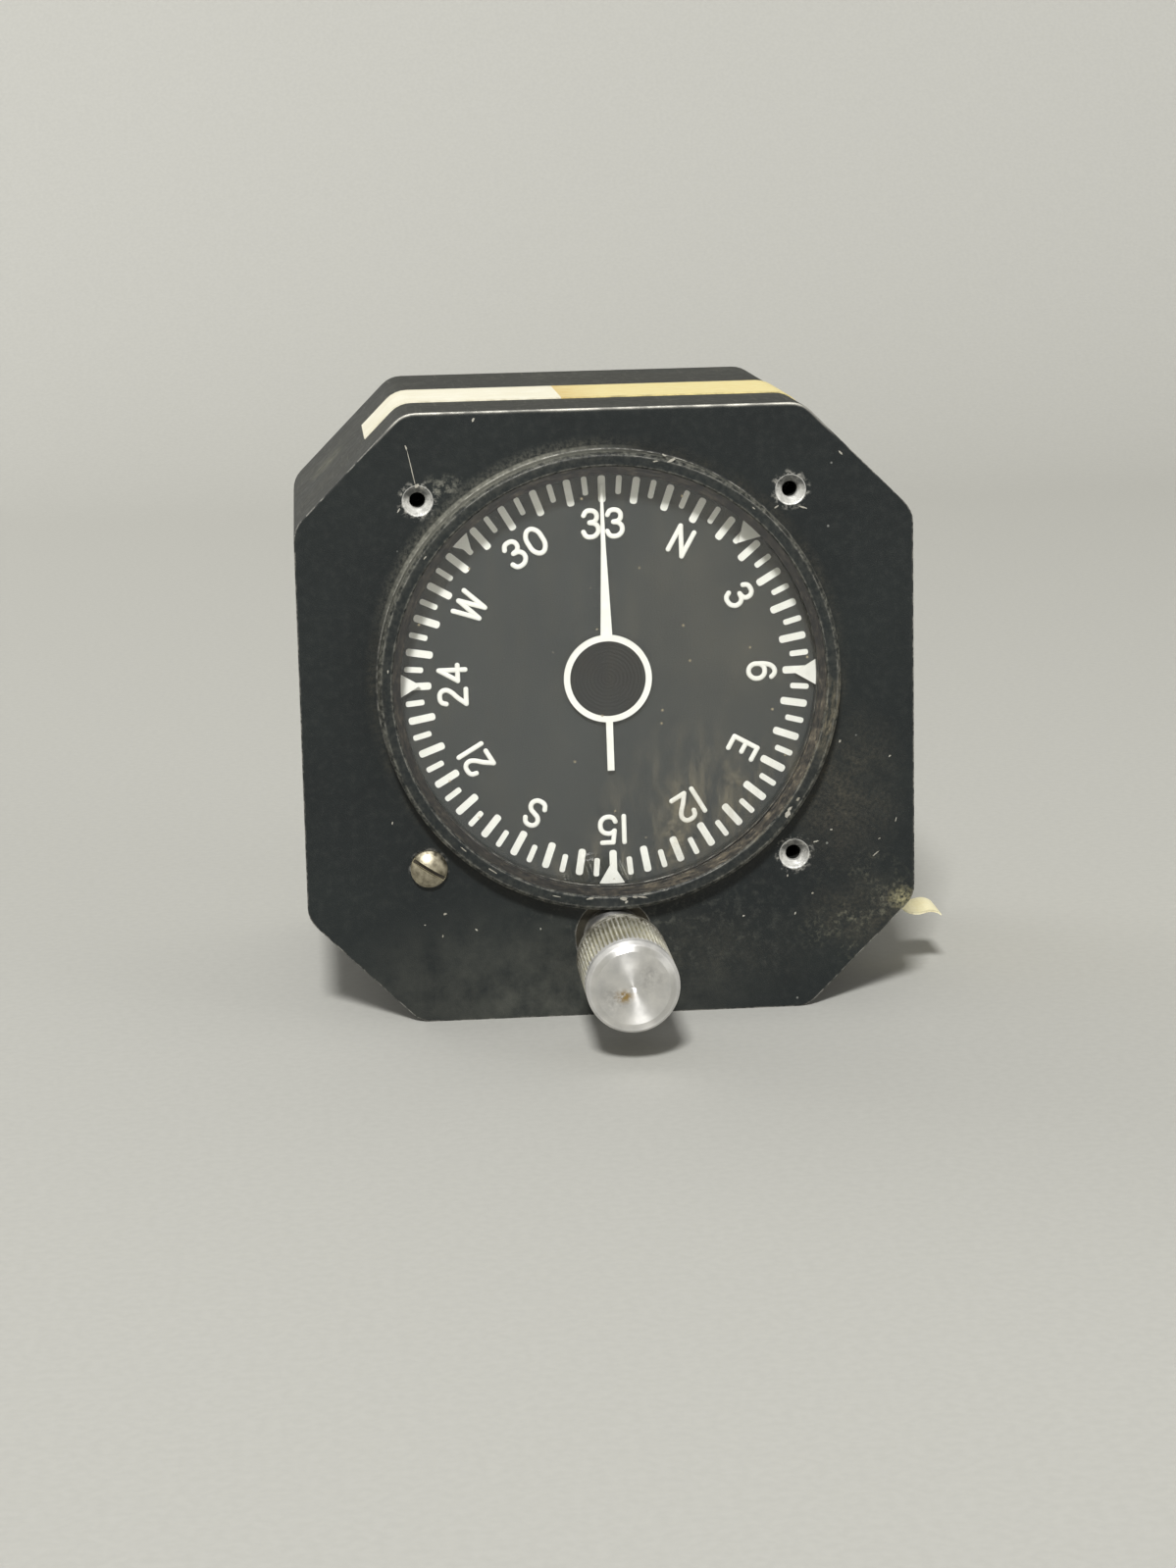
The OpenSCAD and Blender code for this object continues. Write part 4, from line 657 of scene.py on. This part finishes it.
# finishes by material slot, and those of single pieces
white = dialWhite()
finishes = {
    "case_paint": stovedEnamel(),
    "card_paint": mattLacquer(),
    "mark_paint": white,
    "glass": coverPane(),
    "rubber": bloomedRubber(),
    "label_paper": agedPaper(),
    "gold_tape": agedTape("agedGoldTape", base="#f5e6a2", deep="#d3aa5a"),
    "steel": machined("machinedSteel", "#8f9092", "#6d6c69", metallic=1.0, rough=0.32),
    "aluminium": machined("machinedAluminium", "#c2c1bd", "#a3a09a", metallic=1.0, rough=0.34),
    "dark_metal": machined("blackenedMetal", "#3a3936", "#24231f", metallic=0.6, rough=0.42),
    "brass": machined("machinedBrass", "#c2a669", "#94794a", metallic=1.0, rough=0.3),
}
special = {
    "face_screw": dullBrass(),
    "knob_bushing": machined("sootyBrass", "#4a463c", "#2d2b26", metallic=0.8, rough=0.4),
    "pointer_hub": turnedLacquer(),
    "retaining_ring": tarnishedRing(),
    "knob": turnedAluminium(),
    "loose_tape_end": agedTape("paleTapeEnd", base="#fbf4cd", deep="#ead9a0"),
}
for part in frame["record"]["subparts"]:
    name = part["node"]
    carried = frame["nodes"][name]
    carried.data.materials.clear()
    carried.data.materials.append(special.get(name, finishes[part["material_slot"]]))
print("carried-over parts finished")


# makes a piece of a shape that was drawn in millimetres
def addPiece(shape, name, body, finish, smooth=True):
    bmesh.ops.scale(shape, vec=(mm, mm, mm), verts=shape.verts)
    mesh = bpy.data.meshes.new(name)
    shape.to_mesh(mesh)
    shape.free()
    for face in mesh.polygons:
        face.use_smooth = smooth
    mesh.materials.append(finish)
    made = bpy.data.objects.new(name, mesh)
    scene.collection.objects.link(made)
    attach(made, body)
    return made


# dial scale: bars with rounded corners, as the paint was laid on the card
scaleSet = {"front": 2.05, "back": 2.25, "outer": 34.6, "step": 5, "longStep": 10, "longBar": (1.25, 4.6),
            "shortBar": (0.95, 3.2), "corner": 0.38, "heading": 330.6}
scaleShape = bmesh.new()
thick = scaleSet["back"] - scaleSet["front"]
middle = (scaleSet["back"] + scaleSet["front"]) / 2
for angle in range(0, 360, scaleSet["step"]):
    wide, long = scaleSet["shortBar" if angle % scaleSet["longStep"] else "longBar"]
    bar = bmesh.ops.create_cube(scaleShape, size=1.0)["verts"]
    bmesh.ops.scale(scaleShape, vec=(wide, thick, long), verts=bar)
    edges = {edge for corner in bar for edge in corner.link_edges}
    upright = [edge for edge in edges if abs(edge.verts[0].co.y - edge.verts[1].co.y) > thick / 2]
    cut = bmesh.ops.bevel(scaleShape, geom=upright, offset=wide * scaleSet["corner"], segments=3,
                          profile=0.5, affect="EDGES", material=-1)
    bar = list({v for f in cut["faces"] for v in f.verts})
    bmesh.ops.translate(scaleShape, vec=(0, middle, scaleSet["outer"] - long / 2), verts=bar)
    turned = Matrix.Rotation(math.radians(angle - scaleSet["heading"]), 3, "Y")
    bmesh.ops.rotate(scaleShape, cent=(0, 0, 0), matrix=turned, verts=bar)
dialScale = addPiece(scaleShape, "dialScale", "card", white, smooth=False)
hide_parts("card_ticks")
print("dial scale laid")

# dial figures: round-ended pen strokes, with heights of 1 and the foot at 0
figureSet = {"cap": 5.35, "pen": 0.86, "foot": 23.75, "front": 2.06, "rise": 0.09, "gap": 0.33}
penStrokes = {
    "0": [("loop", [(0.0, 0.5), (0.07, 0.85), (0.29, 1.0), (0.51, 0.85), (0.58, 0.5), (0.51, 0.15),
                    (0.29, 0.0), (0.07, 0.15)])],
    "1": [("line", [(0.0, 0.0), (0.0, 1.0)])],
    "2": [("bend", [(0.02, 0.76), (0.08, 0.93), (0.28, 1.0), (0.48, 0.94), (0.55, 0.76), (0.47, 0.57),
                    (0.25, 0.33), (0.0, 0.0)]),
          ("line", [(0.0, 0.0), (0.56, 0.0)])],
    "3": [("bend", [(0.02, 0.82), (0.11, 0.96), (0.28, 1.0), (0.45, 0.94), (0.52, 0.77), (0.44, 0.6),
                    (0.24, 0.545)]),
          ("bend", [(0.24, 0.545), (0.46, 0.49), (0.57, 0.28), (0.47, 0.07), (0.27, 0.0), (0.09, 0.05),
                    (0.0, 0.2)])],
    "4": [("line", [(0.42, 0.0), (0.42, 1.0), (0.0, 0.29), (0.6, 0.29)])],
    "5": [("line", [(0.52, 1.0), (0.1, 1.0), (0.04, 0.55)]),
          ("bend", [(0.04, 0.55), (0.15, 0.63), (0.3, 0.65), (0.5, 0.56), (0.58, 0.33), (0.5, 0.1),
                    (0.28, 0.0), (0.09, 0.05), (0.0, 0.19)])],
    "6": [("bend", [(0.52, 0.87), (0.42, 0.97), (0.28, 1.0), (0.1, 0.88), (0.01, 0.6), (0.0, 0.33)]),
          ("loop", [(0.0, 0.31), (0.06, 0.11), (0.28, 0.0), (0.5, 0.11), (0.57, 0.31), (0.5, 0.52),
                    (0.28, 0.62), (0.06, 0.52)])],
    "N": [("line", [(0.0, 0.0), (0.0, 1.0), (0.58, 0.0), (0.58, 1.0)])],
    "E": [("line", [(0.5, 1.0), (0.0, 1.0), (0.0, 0.0), (0.5, 0.0)]), ("line", [(0.0, 0.52), (0.4, 0.52)])],
    "S": [("bend", [(0.53, 0.8), (0.44, 0.95), (0.27, 1.0), (0.1, 0.94), (0.03, 0.77), (0.12, 0.6),
                    (0.29, 0.52), (0.47, 0.43), (0.56, 0.25), (0.47, 0.06), (0.27, 0.0), (0.08, 0.06),
                    (0.0, 0.22)])],
    "W": [("line", [(0.0, 1.0), (0.21, 0.0), (0.44, 1.0), (0.67, 0.0), (0.88, 1.0)])],
}
figurePlaces = {0: "N", 30: "3", 60: "6", 90: "E", 120: "12", 150: "15", 180: "S", 210: "21", 240: "24",
                270: "W", 300: "30", 330: "33"}


# the pen's path through the points, as a round tube
def penCurve(kind, points):
    curve = bpy.data.curves.new("penCurve", "CURVE")
    curve.dimensions = "3D"
    curve.bevel_depth = figureSet["pen"] / 2
    curve.bevel_resolution = 2
    curve.resolution_u = 5
    curve.use_fill_caps = True
    line = curve.splines.new("BEZIER")
    line.bezier_points.add(len(points) - 1)
    line.use_cyclic_u = kind == "loop"
    for knot, (x, y) in zip(line.bezier_points, points):
        knot.co = (x, y, 0)
    for knot in line.bezier_points:
        knot.handle_left_type = knot.handle_right_type = "VECTOR" if kind == "line" else "AUTO"
    holder = bpy.data.objects.new("penCurve", curve)
    scene.collection.objects.link(holder)
    bpy.context.view_layer.update()
    mesh = holder.to_mesh().copy()
    bpy.data.objects.remove(holder)
    bpy.data.curves.remove(curve)
    return mesh


# one stroke, flattened to the height of the paint, with round ends where the figure has none yet
def penStroke(kind, points, rounded):
    stroke = bmesh.new()
    # straight legs are drawn one by one, because a shared corner would pinch the pen's width
    for leg in zip(points, points[1:]) if kind == "line" else [points]:
        mesh = penCurve(kind, leg)
        stroke.from_mesh(mesh)
        bpy.data.meshes.remove(mesh)
    ends = {"line": points, "bend": (points[0], points[-1]), "loop": ()}[kind]
    for x, y in sorted(set(ends) - rounded):
        bmesh.ops.create_uvsphere(stroke, u_segments=12, v_segments=6, radius=figureSet["pen"] / 2,
                                  matrix=Matrix.Translation((x, y, 0)))
        rounded.add((x, y))
    bmesh.ops.scale(stroke, vec=(1, 1, figureSet["rise"] / (figureSet["pen"] / 2)), verts=stroke.verts)
    return stroke


figureShape = bmesh.new()
tall = figureSet["cap"] - figureSet["pen"]
gap = figureSet["gap"] * tall
foot = figureSet["foot"] + figureSet["pen"] / 2
for heading, text in figurePlaces.items():
    widths = [max(x for _, points in penStrokes[letter] for x, _ in points) * tall for letter in text]
    start = -(sum(widths) + gap * (len(text) - 1)) / 2
    # the writing stands up to face the viewer, then turns to its heading
    stand = Matrix.Translation((0, figureSet["front"] + figureSet["rise"], foot))
    turned = Matrix.Rotation(math.radians(heading - scaleSet["heading"]), 4, "Y")
    placing = turned @ stand @ Matrix.Rotation(math.pi / 2, 4, "X")
    for letter, width in zip(text, widths):
        rounded = set()
        for kind, points in penStrokes[letter]:
            stroke = penStroke(kind, [(start + x * tall, y * tall) for x, y in points], rounded)
            bmesh.ops.transform(stroke, matrix=placing, verts=stroke.verts)
            mesh = bpy.data.meshes.new("penStroke")
            stroke.to_mesh(mesh)
            stroke.free()
            figureShape.from_mesh(mesh)
            bpy.data.meshes.remove(mesh)
        start += width + gap
bmesh.ops.recalc_face_normals(figureShape, faces=figureShape.faces)
addPiece(figureShape, "dialFigures", "card", white)
print("dial figures drawn")

# bare flakes: where knocks took the enamel off, each with its X, Z, length, width and turn
flakeSet = {
    "thick": 0.01, "corners": 11, "ragged": (0.6, 1.15),
    "rim": {"y": -4.22, "flakes": [
        (10.9, 37.4, 1.5, 0.5, 20), (8.2, 37.3, 1.1, 0.25, 10), (9.7, 38.3, 0.8, 0.3, -30),
        (-4.3, -36.9, 1.5, 0.42, 8), (1.4, -37.2, 1.4, 0.75, -4), (1.9, -37.8, 0.7, 0.4, 60),
        (3.4, -36.95, 0.9, 0.4, 0), (4.6, -37.0, 1.9, 0.35, -8), (30.2, -22.6, 1.1, 0.6, 50),
        (29.7, -23.6, 1.5, 0.9, 60), (31.6, -21.0, 0.9, 0.4, 52), (-37.4, 3.4, 0.7, 0.2, 85),
        (-30.6, 22.4, 0.8, 0.2, 50), (24.6, 29.0, 0.7, 0.2, -45), (-25.6, -27.5, 1.4, 0.22, -43),
        (-20.8, -31.4, 2.0, 0.25, -34), (-10.0, -36.3, 1.6, 0.2, -15)]},
    "face": {"y": -0.02, "flakes": [
        (-32.4, 37.4, 6.9, 0.16, -78), (-33.1, 40.4, 1.0, 0.32, -78), (-31.5, 34.0, 0.8, 0.6, 30),
        (-28.9, -39.6, 0.7, 0.35, 20), (-23.6, -42.6, 0.6, 0.3, -40), (22.5, -42.0, 0.5, 0.3, 10),
        (31.5, -41.9, 0.6, 0.3, 60), (-21.8, 44.7, 0.75, 0.4, 60), (40.0, 37.4, 0.9, 0.3, -42),
        (33.4, 28.4, 1.6, 0.3, -20), (29.0, 28.6, 1.0, 0.25, 30), (35.2, -29.4, 1.2, 0.3, 15),
        (-34.6, 30.0, 1.0, 0.25, 60), (39.5, -12.0, 0.6, 0.35, 70), (48.1, -14.9, 0.55, 0.3, 40),
        (49.1, -26.1, 0.9, 0.2, 75), (45.5, -32.0, 1.7, 0.22, 38), (37.9, -27.4, 0.5, 0.3, 0),
        (34.5, -38.5, 0.5, 0.3, 30), (30.2, -35.2, 0.5, 0.3, 80), (46.2, -29.3, 0.5, 0.2, 20),
        (-37.4, -23.4, 0.55, 0.3, 80), (-32.4, -41.4, 0.35, 0.25, 0), (-29.4, -43.5, 0.5, 0.25, 90),
        (-12.6, -42.9, 0.4, 0.25, 80)]},
}
flakeShape = bmesh.new()
for group in (flakeSet["rim"], flakeSet["face"]):
    for x, z, long, wide, degrees in group["flakes"]:
        disc = bmesh.ops.create_circle(flakeShape, cap_ends=True, segments=flakeSet["corners"],
                                       radius=0.5)["verts"]
        for corner in disc:
            corner.co *= random.uniform(*flakeSet["ragged"])
        bmesh.ops.scale(flakeShape, vec=(long, wide, 1), verts=disc)
        tilt = Matrix.Rotation(-math.radians(degrees), 4, "Y") @ Matrix.Rotation(math.pi / 2, 4, "X")
        placing = Matrix.Translation((x, group["y"], z)) @ tilt
        bmesh.ops.transform(flakeShape, matrix=placing, verts=disc)
bmesh.ops.solidify(flakeShape, geom=flakeShape.faces[:], thickness=flakeSet["thick"])
bmesh.ops.recalc_face_normals(flakeShape, faces=flakeShape.faces)
chipped = machined("chippedBareAluminium", "#cfccc2", "#9d988b", metallic=0.9, rough=0.4)
addPiece(flakeShape, "bareFlakes", "case", chipped, smooth=False)
print("wear added")

# studio, in metres and watts: one pale sheet, flat under the instrument and bent up behind it,
# a soft key, a broad fill and a weak lamp behind
studio = {
    "floor": "#bab9b2", "floorShade": "#bebdb6", "back": "#afaea6", "worldLevel": 0.2,
    "wide": 4.0, "near": -3.0, "bendStart": 0.75, "bendRadius": 0.45, "high": 3.0,
    "lamps": {
        "keyLamp": {"at": (-0.5, -3.1, 2.6), "side": 0.55, "power": 180.0},
        "fillLamp": {"at": (3.2, -2.4, 1.2), "side": 2.0, "power": 23.0},
        "rearLamp": {"at": (-0.9, 0.95, 0.55), "side": 0.8, "power": 3.8},
    },
}


# matt card board: pale and even, so that nothing in it competes with the instrument
def studioBoard():
    made, tree, shader, place = startMaterial("paleStudioBoard", Roughness=0.75, IOR=1.45)
    fleck = mottle(tree, place, 1.5, detail=4.0)
    feed(tree, shader, Base_Color=coats(tree, studio["floor"], (fleck, studio["floorShade"])))
    return made


floorShape = bmesh.new()
level = cadBox[0][2]
first = floorShape.verts.new((-studio["wide"], studio["near"], level))
last = floorShape.verts.new((-studio["wide"], studio["bendStart"], level))
floorShape.edges.new((first, last))
bendCentre = (-studio["wide"], studio["bendStart"], level + studio["bendRadius"])
arc = bmesh.ops.spin(floorShape, geom=[last], cent=bendCentre, axis=(1, 0, 0), angle=math.pi / 2, steps=24)
tip = [item for item in arc["geom_last"] if isinstance(item, bmesh.types.BMVert)]
upper = bmesh.ops.extrude_vert_indiv(floorShape, verts=tip)["verts"]
bmesh.ops.translate(floorShape, vec=(0, 0, studio["high"]), verts=upper)
across = bmesh.ops.extrude_edge_only(floorShape, edges=floorShape.edges[:])["geom"]
farSide = [item for item in across if isinstance(item, bmesh.types.BMVert)]
bmesh.ops.translate(floorShape, vec=(2 * studio["wide"], 0, 0), verts=farSide)
bmesh.ops.recalc_face_normals(floorShape, faces=floorShape.faces)
for face in floorShape.faces:
    face.smooth = True
floorMesh = bpy.data.meshes.new("studioFloor")
floorShape.to_mesh(floorMesh)
floorShape.free()
floorMesh.materials.append(studioBoard())
floor = bpy.data.objects.new("studioFloor", floorMesh)
scene.collection.objects.link(floor)

# the world lights at a plain level, and shows the backdrop's colour to the camera and in reflections
world = bpy.data.worlds.new("studioWorld")
scene.world = world
world.use_nodes = True
tree = world.node_tree
tree.nodes.clear()
seen = node(tree, "LightPath").node.outputs
direct = strongest(tree, seen["Is Camera Ray"], seen["Is Glossy Ray"], seen["Is Transmission Ray"])
plain = node(tree, "Background", {"Color": (1, 1, 1, 1), "Strength": studio["worldLevel"]})
pale = node(tree, "Background", {"Color": studio["back"], "Strength": 1.0})
mixed = node(tree, "MixShader", [direct, plain, pale])
tree.links.new(mixed, tree.nodes.new("ShaderNodeOutputWorld").inputs["Surface"])
for name, values in studio["lamps"].items():
    data = bpy.data.lights.new(name, "AREA")
    data.shape = "SQUARE"
    data.size = values["side"]
    data.energy = values["power"]
    lamp = bpy.data.objects.new(name, data)
    lamp.location = values["at"]
    lamp.rotation_euler = (-Vector(values["at"])).to_track_quat("-Z", "Y").to_euler()
    scene.collection.objects.link(lamp)
print("studio lit")
